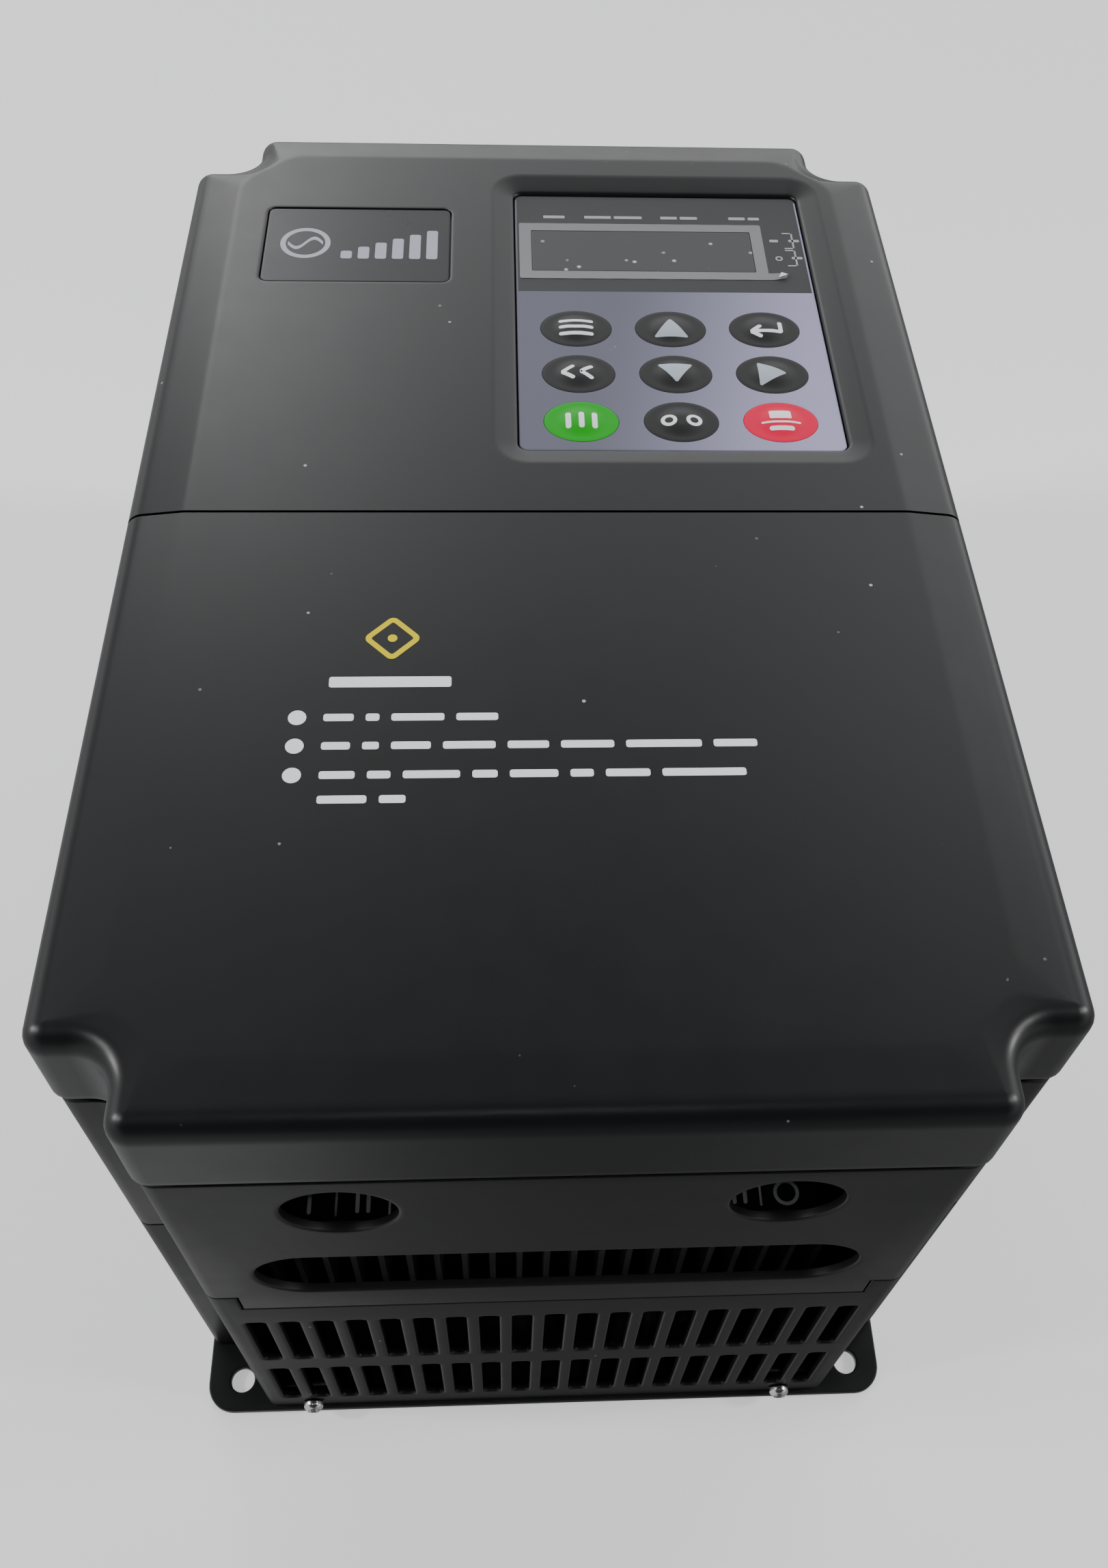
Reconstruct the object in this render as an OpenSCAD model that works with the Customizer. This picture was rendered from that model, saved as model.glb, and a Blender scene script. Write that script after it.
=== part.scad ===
// Variable frequency drive lying on its mounting plate.
// X runs across the drive, Y up the drive, and Z out of the wall that it is fixed to.
// The origin is the centre of the mounting plate's rear face.

/* [Housing] */
// Width of the front covers
body_w = 208; // [200:1:216]
// Height of the drive, from its cable end to its fan end
body_h = 326; // [318:1:334]
// Height of the front face above the wall
body_d = 222; // [216:1:228]
// Side of the square notch at each corner, which clears the mounting screws
notch = 18; // [16:0.5:20]
// Radius of the notch's inner corner
notch_r = 9; // [6:0.5:10]
// Radius of the upright outer edges
edge_r = 5; // [3:0.5:6]
// Thickness of the moulded walls
wall = 3; // [2:0.5:3.5]
// Height of the joint between the covers and the middle housing
front_seam = 196.5; // [190:0.5:200]
// Height of the joint between the middle and rear housings
rear_seam = 116; // [112:0.5:120]
// Height of the same joint along the middle of each end wall
rear_seam_low = 107; // [104:0.5:110]
// Place of the joint between the upper and lower covers
cover_split = -5.4; // [-12:0.1:0]

/* [Ends] */
// Radius of the two round cable entries
cable_hole_r = 12.25; // [10:0.25:13]
// Length of the long cable slot
cable_slot_l = 139.6; // [120:0.1:145]
// Height of the long cable slot
cable_slot_h = 26; // [20:1:28]
// Number of ventilation slots in a row
vent_count = 19; // [11:2:19]
// Distance between ventilation slots
vent_pitch = 8.35; // [7.5:0.05:8.5]

/* [Keypad] */
// Width of the keypad
keypad_w = 85.6; // [80:0.2:88]
// Height of the keypad
keypad_h = 112.6; // [108:0.2:114]
// Length of one oval key
key_l = 19.7; // [16:0.1:20.5]
// Width of one oval key
key_w = 15.4; // [12:0.1:16]
// Travel of a key
key_travel = 0.8; // [0.4:0.1:1]

/* [Mounting] */
// Distance across between mounting holes
hole_pitch_x = 184; // [182:1:186]
// Distance up between mounting holes
hole_pitch_y = 306; // [304:1:308]
// Radius of a mounting hole
mount_hole_r = 3.5; // [2.5:0.25:3.5]
// Thickness of the mounting plate
plate_t = 2.5; // [1.5:0.5:3]

/* [Fans] */
// Side of each square fan
fan_size = 80; // [70:1:82]
// Depth of each fan
fan_depth = 25; // [20:1:25]
// Number of blades on a rotor
blade_count = 7; // [5:2:9]

/* [Hidden] */
$fn = 48;
gap = 0.3;

// Housings step inwards from front to rear.
mid_inset = 0.8;
rear_inset = 1.8;
half_w = body_w / 2;
half_h = body_h / 2;

// Front face: a flat middle, sloping margins and a rounded rim.
margin_w = 15;
margin_drop = 2.2;
rim_z = body_d - margin_drop;
corner_slope = (half_w + half_h - 38) * sin(45);
hook_x = 60;

// Ends.
cable_hole_x = 46.7;
cable_hole_z = 175.6;
cable_slot_z = 133;
vent_w = 5;
vent_rows = [[12.5, 47], [57.5, 94]];
top_vent_count = 15;
top_vent_z = [128, 180];
seam_tongue_w = 152;
end_wall_x = 80;
plate_screw_x = 69.6;
plate_screw_z = 7.2;

// Keypad.
keypad_x = 35.5;
keypad_y = 75.1;
keypad_top = body_d - 2;
keypad_t = 16;
overlay_t = 0.5;
key_rise = 1.3;
key_pitch_x = 26.4;
key_pitch_y = 19.2;
key_mid_y = 49;
key_gap = 0.3;
window_x = [-2.6, 62.6];
window_y = [94.4, 113.9];
pocket_rim = 6.2;
pocket_wall = 2;
switch_z = keypad_top - 9;
plug_y = keypad_y + 30;

// Nameplate.
badge_x = -53;
badge_y = 103.7;
badge_w = 53.2;
badge_h = 34.8;
badge_t = 1;
badge_sink = 0.3;

// Terminals.
terminal_count = 10;
terminal_pitch = 11.7;
terminal_mid_x = -2.65;
terminal_y = [-148, -114];
terminal_z = [123.6, 156];
terminal_screw_y = -127;

// Boards and cooling.
power_board_z = 122;
control_board_z = 176;
board_t = 1.6;
standoff_x = 72;
standoff_y = 96;
busbar_x = 14.9;
sink_y = [-128, 126];
sink_w = 168;
sink_top = 101;
sink_base = 10;
fin_count = 21;
fan_x = 41;
fan_y = 127;
fan_z = 57;
fan_bore_r = fan_size / 2 - 2;
fan_hub_r = 15;
fan_shaft_r = 1.5;
fan_hole = 35.75;
boss_x = 95;
boss_y = 95;
tray_z = 172;
tray_foot_x = 91;
tray_foot_y = [-40, 70];
earth_screw_y = -134;

// ---- Shared shapes ----

// Places its children in all four quarters of the plan.
module four_ways() {
    for (sx = [-1, 1], sy = [-1, 1]) scale_signs(sx, sy) children();
}

module scale_signs(sx, sy) {
    mirror([sx < 0 ? 1 : 0, 0, 0]) mirror([0, sy < 0 ? 1 : 0, 0]) children();
}

module rounded_rect(w, h, r) {
    square([2 * w - 2 * r, 2 * h], center = true);
    square([2 * w, 2 * h - 2 * r], center = true);
    if (r > 0.05) for (sx = [-1, 1], sy = [-1, 1]) translate([sx * (w - r), sy * (h - r)]) circle(r);
}

// The notched plan of the housing, moved inwards by inset.
module outline(inset) {
    w = half_w - inset;
    h = half_h - inset;
    r_out = max(edge_r - inset, 0);
    r_in = notch_r + inset;
    difference() {
        union() {
            rounded_rect(w, h - notch, r_out);
            rounded_rect(w - notch, h, r_out);
            four_ways() translate([w - notch - 0.5, h - notch - 0.5]) square(r_in + 0.5);
        }
        four_ways() translate([w - notch + r_in, h - notch + r_in]) circle(r_in);
    }
}

module block(x, y, z) {
    translate([x[0], y[0], z[0]]) cube([x[1] - x[0], y[1] - y[0], z[1] - z[0]]);
}

module box_at(x, y, z, w, h, t) {
    translate([x - w / 2, y - h / 2, z]) cube([w, h, t]);
}

// A plate with round corners, centred on x and y.
module rounded_plate(x, y, z, w, h, t, r) {
    translate([x, y, z]) linear_extrude(t) union() {
        square([w - 2 * r, h], center = true);
        square([w, h - 2 * r], center = true);
        for (sx = [-1, 1], sy = [-1, 1]) translate([sx * (w / 2 - r), sy * (h / 2 - r)]) circle(r);
    }
}

module oval_prism(l, w, t) {
    linear_extrude(t) polygon([for (i = [0:39]) [l / 2 * cos(i * 9), w / 2 * sin(i * 9)]]);
}

// A ring-shaped wall that follows the outline.
module shell_ring(inset, z0, z1) {
    translate([0, 0, z0]) linear_extrude(z1 - z0) difference() {
        outline(inset);
        outline(inset + wall);
    }
}

// A cylinder along Y from y0 to y1.
module rod_y(x, y0, y1, z, r) {
    translate([x, y0, z]) rotate([-90, 0, 0]) cylinder(r = r, h = y1 - y0);
}

module pan_screw(head_r, head_t, shank_r, shank_l) {
    cylinder(r = shank_r, h = shank_l);
    translate([0, 0, shank_l]) difference() {
        cylinder(r = head_r, h = head_t);
        translate([0, 0, head_t / 2]) for (a = [0, 90]) rotate([0, 0, a])
            box_at(0, 0, 0, head_r * 1.2, head_r * 0.28, head_t);
    }
}

// ---- Housing ----

module mounting_plate() {
    color([0.06, 0.06, 0.06]) difference() {
        union() {
            rounded_plate(0, 0, 0, body_w - 4, body_h, plate_t, 8);
            for (sx = [-1, 1], sy = [-1, 1])
                box_at(sx * plate_screw_x, sy * (half_h - rear_inset - wall - gap - plate_t / 2), 0,
                    18, plate_t, 14);
        }
        for (sx = [-1, 1], sy = [-1, 1])
            translate([sx * hole_pitch_x / 2, sy * hole_pitch_y / 2, -1])
                cylinder(r = mount_hole_r, h = plate_t + 2);
        for (sx = [-1, 1]) rod_y(sx * plate_screw_x, -half_h, half_h, plate_screw_z, 2.1);
    }
}

module vent_slots(count, z0, z1) {
    for (i = [0:count - 1])
        block([(i - (count - 1) / 2) * vent_pitch - vent_w / 2,
            (i - (count - 1) / 2) * vent_pitch + vent_w / 2], [-half_h - 1, half_h + 1], [z0, z1]);
}

// The end walls are lower in the middle, where the middle housing's tongue reaches down.
module end_step(z0, z1, grow) {
    block([-seam_tongue_w / 2 - grow, seam_tongue_w / 2 + grow], [-half_h - 1, -half_h + 12], [z0, z1]);
    block([-seam_tongue_w / 2 - grow, seam_tongue_w / 2 + grow], [half_h - 12, half_h + 1], [z0, z1]);
}

module rear_housing() {
    color([0.09, 0.09, 0.09]) difference() {
        union() {
            shell_ring(rear_inset, plate_t, rear_seam);
            translate([0, 0, sink_top]) linear_extrude(wall) difference() {
                outline(rear_inset + 1);
                translate([-sink_w / 2 + 8, sink_y[0] + 8])
                    square([sink_w - 16, sink_y[1] - sink_y[0] - 16]);
            }
            for (sx = [-1, 1], sy = [-1, 1])
                translate([sx * boss_x, sy * boss_y, sink_top - 40]) cylinder(r = 5, h = 40 + wall);
            for (sx = [-1, 1], sy = [-1, 1]) box_at(sx * (boss_x + 3), sy * boss_y, sink_top - 40, 6, 5, 40);
            for (sx = [-1, 1], y = tray_foot_y)
                translate([sx * tray_foot_x, y, sink_top]) cylinder(r = 4, h = rear_seam - sink_top);
        }
        for (x = [70, 80]) translate([x, earth_screw_y, sink_top - 1]) cylinder(r = 2.6, h = wall + 2);
        for (sx = [-1, 1], y = tray_foot_y)
            translate([sx * tray_foot_x, y, sink_top - 1]) cylinder(r = 1.6, h = 20);
        end_step(rear_seam_low - gap, rear_seam + 1, 0.4);
        for (rows = vent_rows) vent_slots(vent_count, rows[0], rows[1]);
        for (sx = [-1, 1]) rod_y(sx * plate_screw_x, -half_h - 1, half_h + 1, plate_screw_z, 2.1);
        for (sx = [-1, 1], sy = [-1, 1])
            translate([sx * boss_x, sy * boss_y, sink_top - 36]) cylinder(r = 1.7, h = 60);
    }
}

module cable_openings() {
    for (sx = [-1, 1]) rod_y(sx * cable_hole_x, -half_h - 1, -half_h + 8, cable_hole_z, cable_hole_r);
    slot_end = (cable_slot_l - cable_slot_h) / 2;
    for (sx = [-1, 1]) rod_y(sx * slot_end, -half_h - 1, -half_h + 8, cable_slot_z, cable_slot_h / 2);
    block([-slot_end, slot_end], [-half_h - 1, -half_h + 8],
        [cable_slot_z - cable_slot_h / 2, cable_slot_z + cable_slot_h / 2]);
}

module middle_walls() {
    shell_ring(mid_inset, rear_seam + gap, front_seam - gap);
    intersection() {
        shell_ring(mid_inset, rear_seam_low, rear_seam + 1);
        end_step(rear_seam_low - 1, rear_seam + 2, 0);
    }
}

// The flat part of one end wall, between the notched corners.
module middle_end_wall(sy) {
    y = sy > 0 ? [half_h - notch, half_h] : [-half_h, -half_h + notch];
    color([0.09, 0.09, 0.09]) difference() {
        intersection() {
            middle_walls();
            block([-end_wall_x, end_wall_x], y, [0, body_d]);
        }
        if (sy < 0) cable_openings();
        else vent_slots(top_vent_count, top_vent_z[0], top_vent_z[1]);
    }
}

// One side wall with its notched corners and its screw bosses.
module middle_side(sx) {
    foot_z = rear_seam + gap;
    boss_h = 24;
    color([0.09, 0.09, 0.09]) difference() {
        union() {
            intersection() {
                middle_walls();
                block(sx > 0 ? [end_wall_x, half_w] : [-half_w, -end_wall_x], [-half_h, half_h], [0, body_d]);
            }
            for (sy = [-1, 1]) translate([sx * boss_x, sy * boss_y, foot_z]) cylinder(r = 5.5, h = boss_h);
            for (sy = [-1, 1]) box_at(sx * (boss_x + 3.5), sy * boss_y, foot_z, 7, 6, boss_h);
        }
        for (sy = [-1, 1]) translate([sx * boss_x, sy * boss_y, rear_seam]) {
            cylinder(r = 2.3, h = 40);
            translate([0, 0, 19]) cylinder(r = 4, h = 40);
        }
    }
}

// Balls and rods round off the edge where the walls meet the face.
module rounded_rim() {
    r = edge_r;
    long_x = half_w - r;
    long_y = half_h - r;
    short_x = half_w - notch - r;
    short_y = half_h - notch - r;
    translate([0, 0, rim_z - r]) four_ways() {
        rod_y(long_x, -1, short_y, 0, r);
        translate([-1, long_y, 0]) rotate([0, 90, 0]) cylinder(r = r, h = short_x + 1);
        translate([half_w - notch + notch_r, short_y, 0]) rotate([0, 90, 0])
            cylinder(r = r, h = notch - notch_r - r);
        rod_y(short_x, half_h - notch + notch_r, long_y, 0, r);
        translate([long_x, short_y, 0]) sphere(r);
        translate([short_x, long_y, 0]) sphere(r);
        translate([half_w - notch + notch_r, half_h - notch + notch_r, 0]) rotate([0, 0, 180])
            rotate_extrude(angle = 90) translate([notch_r + r, 0]) circle(r);
    }
}

// Everything above a sloping margin that starts at distance d from the middle, facing angle a.
module above_slope(a, d, run) {
    rotate([0, 0, a]) translate([d, 0, rim_z]) rotate([0, atan(margin_drop / run), 0])
        translate([-60, -300, 0]) cube([90, 600, 30]);
}

// The raised middle of the face; margin is the width of the slope at the cover's end.
module face_pad(sy, margin) {
    difference() {
        block([-half_w + edge_r, half_w - edge_r], sy > 0 ? [0, half_h - edge_r] : [-half_h + edge_r, 0],
            [rim_z - 2, body_d]);
        for (a = [0, 180]) above_slope(a, half_w - edge_r, margin_w - edge_r);
        above_slope(sy * 90, half_h - edge_r, margin);
        for (a = [45, 135]) above_slope(sy * a, corner_slope, margin);
    }
}

module cover_face(sy) {
    slope = margin_w - edge_r;
    translate([0, 0, front_seam]) linear_extrude(rim_z - edge_r - front_seam) outline(0);
    translate([0, 0, rim_z - edge_r - 0.5]) linear_extrude(edge_r + 0.5) outline(edge_r);
    rounded_rim();
    if (sy > 0) face_pad(1, slope);
    else face_pad(-1, slope * 0.6);
}

module cover_hollow() {
    translate([0, 0, front_seam - 1]) linear_extrude(rim_z - wall - 1.5 - front_seam + 1)
        outline(wall);
    translate([0, 0, front_seam - 1]) linear_extrude(body_d - wall - front_seam + 1)
        square([body_w - 2 * margin_w - 6, body_h - 2 * margin_w - 26], center = true);
}

module keypad_pocket() {
    w = keypad_w + 2 * gap;
    h = keypad_h + 2 * gap;
    rounded_plate(keypad_x, keypad_y, keypad_top - keypad_t, w, h, 40, 2.2);
    hull() {
        rounded_plate(keypad_x, keypad_y, keypad_top - 0.6, w + 1, h + 1, 0.1, 3);
        rounded_plate(keypad_x + 0.4, keypad_y + 2.4, body_d, w + 2 * pocket_rim, h + 2 * pocket_rim + 4,
            0.1, 9);
    }
}

module upper_cover() {
    color([0.1, 0.1, 0.1]) difference() {
        union() {
            intersection() {
                difference() {
                    cover_face(1);
                    cover_hollow();
                }
                block([-half_w - 1, half_w + 1], [cover_split + 0.4, half_h + 1], [0, body_d + 1]);
            }
            rounded_plate(keypad_x, keypad_y, keypad_top - keypad_t - pocket_wall,
                keypad_w + 2 * pocket_wall + 1, keypad_h + 2 * pocket_wall + 1,
                keypad_t + pocket_wall - 0.3, 4);
            block([-half_w + 1, half_w - 1], [cover_split + 0.4, cover_split + 2.4],
                [front_seam + gap, body_d - 8]);
        }
        keypad_pocket();
        box_at(keypad_x, plug_y, keypad_top - keypad_t - 10, 24, 20, 20);
        rounded_plate(badge_x, badge_y, body_d - badge_t - badge_sink, badge_w + 2 * gap, badge_h + 2 * gap,
            10, 2.2);
        for (sx = [-1, 1]) block([sx * hook_x - 11, sx * hook_x + 11], [cover_split, cover_split + 5],
            [body_d - 14, body_d - 3.4]);
    }
}

module lower_cover() {
    color([0.08, 0.08, 0.085]) union() {
        intersection() {
            difference() {
                cover_face(-1);
                cover_hollow();
            }
            block([-half_w - 1, half_w + 1], [-half_h - 1, cover_split - 0.4], [0, body_d + 1]);
        }
        // Hook tongues that reach under the upper cover.
        for (sx = [-1, 1]) block([sx * hook_x - 9, sx * hook_x + 9], [cover_split - 6, cover_split + 4.4],
            [body_d - 7, body_d - 4]);
        for (sx = [-1, 1]) block([sx * hook_x - 9, sx * hook_x + 9], [cover_split - 6, cover_split - 0.4],
            [body_d - 7, body_d - 2]);
        // Snap latches behind the end wall.
        for (sx = [-1, 1]) block([sx * 70 - 6, sx * 70 + 6], [-half_h + 5.6, -half_h + 7.6],
            [front_seam - 7, rim_z - 4]);
    }
}

module badge_plate() {
    color([0.03, 0.03, 0.035])
        rounded_plate(badge_x, badge_y, body_d - badge_t - badge_sink, badge_w, badge_h, badge_t, 2);
}

// ---- Keypad ----

module key_place(column, row) {
    translate([keypad_x + column * key_pitch_x, key_mid_y + row * key_pitch_y, 0]) children();
}

module every_key() {
    for (column = [-1:1], row = [-1:1]) key_place(column, row) children();
}

module keypad_case() {
    floor_z = keypad_top - keypad_t + gap;
    color([0.07, 0.07, 0.07]) difference() {
        rounded_plate(keypad_x, keypad_y, floor_z, keypad_w, keypad_h, keypad_t - gap - overlay_t, 2);
        difference() {
            block([keypad_x - keypad_w / 2 + 2, keypad_x + keypad_w / 2 - 2],
                [keypad_y - keypad_h / 2 + 2, keypad_y + keypad_h / 2 - 2], [floor_z + 2, keypad_top - 3]);
            for (sx = [-1, 1], sy = [-1, 1]) translate([keypad_x + sx * 36, keypad_y + sy * 50, floor_z])
                cylinder(r = 2.5, h = keypad_top - 11 - floor_z);
        }
        every_key() translate([0, 0, keypad_top - 4]) oval_prism(key_l + 2 * key_gap, key_w + 2 * key_gap, 6);
        block(window_x + [-0.2, 0.2], window_y + [-0.2, 0.2], [keypad_top - 4, keypad_top + 1]);
        box_at(keypad_x, plug_y, floor_z - 1, 17, 13, 5);
    }
}

module keypad_overlay() {
    color([0.42, 0.42, 0.5]) difference() {
        rounded_plate(keypad_x, keypad_y, keypad_top - overlay_t, keypad_w, keypad_h, overlay_t, 2);
        every_key() translate([0, 0, keypad_top - 2]) oval_prism(key_l + 2 * key_gap, key_w + 2 * key_gap, 4);
        block(window_x, window_y, [keypad_top - 2, keypad_top + 1]);
    }
}

module display_lens() {
    color([0.2, 0.2, 0.21, 0.6])
        block(window_x + [0.1, -0.1], window_y + [0.1, -0.1], [keypad_top - 1.8, keypad_top - 0.1]);
}

module display_module() {
    color([0.05, 0.05, 0.05])
        block(window_x + [0.8, -0.8], window_y + [0.3, -0.3], [keypad_top - 9.4, keypad_top - 2]);
}

module keypad_board() {
    color([0.1, 0.3, 0.14])
        box_at(keypad_x, keypad_y, keypad_top - 11, keypad_w - 5, keypad_h - 5, board_t);
}

module keypad_plug() {
    color([0.15, 0.15, 0.16]) box_at(keypad_x, plug_y, keypad_top - keypad_t - 8, 16, 12, 13);
}

module key_switches() {
    color([0.7, 0.7, 0.72]) every_key() union() {
        translate([0, 0, switch_z - 0.4]) linear_extrude(3.1) square(6, center = true);
        translate([0, 0, switch_z + 2.6]) cylinder(r = 1.6, h = 0.9);
    }
}

module indicator_lights() {
    color([0.8, 0.15, 0.1]) {
        for (x = [2.2, 22.4, 42.2, 62.8])
            translate([x, 117.4, keypad_top - 9.4]) cylinder(r = 1, h = 5.5);
    }
}

// A domed oval key with a plunger that stands on its switch.
module key(column, row, colour) {
    stem_z = switch_z + 3.8 + key_travel;
    color(colour) key_place(column, row) union() {
        translate([0, 0, keypad_top - 2]) oval_prism(key_l, key_w, 2);
        hull() {
            translate([0, 0, keypad_top - 0.5]) oval_prism(key_l, key_w, 0.6);
            translate([0, 0, keypad_top + key_rise - 0.5]) oval_prism(key_l * 0.72, key_w * 0.72, 0.3);
            translate([0, 0, keypad_top + key_rise - 0.2]) oval_prism(key_l * 0.45, key_w * 0.45, 0.2);
        }
        translate([0, 0, stem_z]) cylinder(r = 2, h = keypad_top - 1 - stem_z);
    }
}

// ---- Power section ----

module heat_sink() {
    fin_span = sink_w - 4;
    color([0.75, 0.76, 0.78]) difference() {
        union() {
            block([-sink_w / 2, sink_w / 2], sink_y, [sink_top - sink_base, sink_top - gap]);
            for (i = [0:fin_count - 1])
                box_at(-fin_span / 2 + i * fin_span / (fin_count - 1), (sink_y[0] + sink_y[1]) / 2,
                    5, 1.8, sink_y[1] - sink_y[0], sink_top - sink_base - 4.5);
        }
        for (x = [-fan_x, fan_x], sx = [-1, 1])
            rod_y(x + sx * fan_hole, sink_y[1] - 11, sink_y[1] + 1, fan_z + fan_hole, 2.02);
    }
}

module inverter_module() {
    color([0.12, 0.12, 0.13]) union() {
        box_at(-4, -42, sink_top - gap, 122, 50, 14);
        for (i = [0:8]) box_at(-52 + i * 12, -20.5, sink_top + 12, 4, 2, 7);
    }
}

module rectifier_module() {
    color([0.13, 0.13, 0.14]) union() {
        box_at(-4, 22, sink_top - gap, 94, 32, 14);
        for (i = [0:4]) box_at(-40 + i * 18, 22, sink_top + 12, 6, 6, 7);
    }
}

module power_board() {
    color([0.09, 0.3, 0.14]) difference() {
        box_at(0, -8, power_board_z, 164, 284, board_t);
        for (sx = [-1, 1], sy = [-1, 1])
            translate([sx * standoff_x, sy * standoff_y - 4, power_board_z - 1]) cylinder(r = 1.8, h = 5);
    }
}

module dc_capacitors() {
    color([0.12, 0.14, 0.3]) for (x = [-58, -19, 20, 59])
        translate([x, 106, power_board_z + board_t]) union() {
            cylinder(r = 17.5, h = 38);
            translate([0, 0, 38]) cylinder(r = 16, h = 1.2);
        }
}

module busbars() {
    color([0.8, 0.5, 0.25]) {
        for (i = [0:2]) box_at(busbar_x + i * terminal_pitch, -91, power_board_z + board_t, 7, 44, 2);
        for (i = [0:2]) box_at(-31.9 + i * terminal_pitch, -80, power_board_z + board_t, 7, 66, 2);
        for (y = [70, 80]) box_at(0, y, power_board_z + board_t, 130, 7, 2);
    }
}

module current_sensors() {
    color([0.1, 0.1, 0.11]) for (i = [0:2]) difference() {
        box_at(busbar_x + i * terminal_pitch, -90, power_board_z + board_t, 10.6, 20, 20);
        box_at(busbar_x + i * terminal_pitch, -90, power_board_z, 7.6, 30, 4);
        rod_y(busbar_x + i * terminal_pitch, -101, -79, power_board_z + 13, 3);
    }
}

module start_relay() {
    color([0.1, 0.2, 0.42]) box_at(-58, -62, power_board_z + board_t, 30, 26, 26);
}

module supply_transformer() {
    color([0.2, 0.2, 0.2]) union() {
        box_at(52, 40, power_board_z + board_t, 34, 30, 8);
        box_at(52, 40, power_board_z + board_t + 7.9, 24, 26, 14);
        box_at(52, 40, power_board_z + board_t + 21.8, 34, 30, 6);
    }
}

module charge_resistor() {
    color([0.85, 0.84, 0.78]) box_at(-58, 40, power_board_z + board_t, 12, 50, 12);
}

module board_standoffs() {
    color([0.78, 0.62, 0.3]) for (sx = [-1, 1], sy = [-1, 1])
        translate([sx * standoff_x, sy * standoff_y - 4, sink_top - gap])
            cylinder(r = 3.2, h = power_board_z - sink_top + gap, $fn = 6);
}

// ---- Terminals ----

function terminal_x(i) = terminal_mid_x + (i - (terminal_count - 1) / 2) * terminal_pitch;

module terminal_block() {
    left = terminal_x(0) - terminal_pitch / 2;
    right = terminal_x(terminal_count - 1) + terminal_pitch / 2;
    color([0.05, 0.05, 0.05]) union() {
        block([left - 1, right + 1], terminal_y, [terminal_z[0], terminal_z[0] + 12]);
        block([left - 1, right + 1], [terminal_y[1] - 6, terminal_y[1]], terminal_z);
        for (i = [0:terminal_count]) box_at(left + i * terminal_pitch, (terminal_y[0] + terminal_y[1]) / 2,
            terminal_z[0] + 1, 1.6, terminal_y[1] - terminal_y[0], terminal_z[1] - terminal_z[0] - 1.3);
    }
}

module terminal_screws() {
    color([0.75, 0.75, 0.76]) for (i = [0:terminal_count - 1])
        translate([terminal_x(i), terminal_screw_y, terminal_z[0] + 12]) union() {
            box_at(0, -3, 0, 8.6, 14, 1.5);
            translate([0, 0, 1.5]) pan_screw(3.8, 3, 2, 3);
        }
}

module terminal_label_strip() {
    left = terminal_x(0) - terminal_pitch / 2 - 1;
    right = terminal_x(terminal_count - 1) + terminal_pitch / 2 + 1;
    color([0.04, 0.04, 0.045]) {
        block([left, right], [terminal_y[0] - 9.5, terminal_y[0] + 3], [terminal_z[1], terminal_z[1] + 1.6]);
        for (x = [left, right - 2]) block([x, x + 2], [terminal_y[0] - 5, terminal_y[0] - 0.1],
            [terminal_z[0], terminal_z[1] + 0.1]);
    }
}

module earth_screws() {
    color([0.72, 0.72, 0.7]) for (x = [70, 80]) translate([x, earth_screw_y, sink_top - 5])
        pan_screw(4, 3, 2.5, 8.1);
}

// ---- Control section ----

module board_tray() {
    color([0.7, 0.71, 0.72]) difference() {
        union() {
            box_at(0, 34, tray_z, 176, 176, 1.2);
            for (sx = [-1, 1], y = tray_foot_y)
                box_at(sx * 87.4, y, rear_seam, 1.2, 16, tray_z - rear_seam + 1);
            for (sx = [-1, 1], y = tray_foot_y) box_at(sx * tray_foot_x, y, rear_seam, 8.4, 12, 1.2);
            for (sx = [-1, 1], sy = [-1, 1]) translate([sx * 76, 30 + sy * 72, tray_z])
                cylinder(r = 3, h = control_board_z - tray_z);
        }
        for (sx = [-1, 1], y = tray_foot_y)
            translate([sx * tray_foot_x, y, rear_seam - 1]) cylinder(r = 1.6, h = 4);
        block([80, 90], [17, 47], [tray_z - 1, tray_z + 3]);
    }
}

module control_board() {
    color([0.08, 0.28, 0.13]) box_at(0, 30, control_board_z, 164, 160, board_t);
}

module control_chips() {
    color([0.05, 0.05, 0.05]) {
        box_at(-30, 40, control_board_z + board_t, 20, 20, 1.6);
        box_at(-60, 80, control_board_z + board_t, 14, 10, 2);
        box_at(10, 20, control_board_z + board_t, 10, 6, 1.6);
    }
}

module control_terminals() {
    pitch = 5.08;
    count = 26;
    color([0.12, 0.45, 0.22]) difference() {
        box_at(0, -40, control_board_z + board_t, count * pitch, 14, 11);
        for (i = [0:count - 1]) {
            x = (i - (count - 1) / 2) * pitch;
            translate([x, -38, control_board_z + 9]) cylinder(r = 1.5, h = 6);
            box_at(x, -47, control_board_z + 4, 3, 8, 4);
        }
    }
}

module keypad_socket() {
    color([0.12, 0.12, 0.13]) difference() {
        box_at(keypad_x, plug_y, control_board_z + board_t, 20, 16, 24);
        box_at(keypad_x, plug_y, control_board_z + board_t + 10, 16.6, 12.6, 20);
    }
}

module ribbon_cable() {
    color([0.6, 0.6, 0.62]) union() {
        block([84, 85], [20, 44], [power_board_z + 8, control_board_z + 6]);
        block([76, 85], [20, 44], [control_board_z + 5, control_board_z + 6]);
        block([76, 80], [20, 44], [control_board_z + board_t, control_board_z + 5.1]);
        block([76, 85], [20, 44], [power_board_z + 7, power_board_z + 8.1]);
        block([76, 80], [20, 44], [power_board_z + board_t, power_board_z + 7.1]);
    }
}

// ---- Cooling fans; each stands on its edge and blows along Y ----

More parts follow.
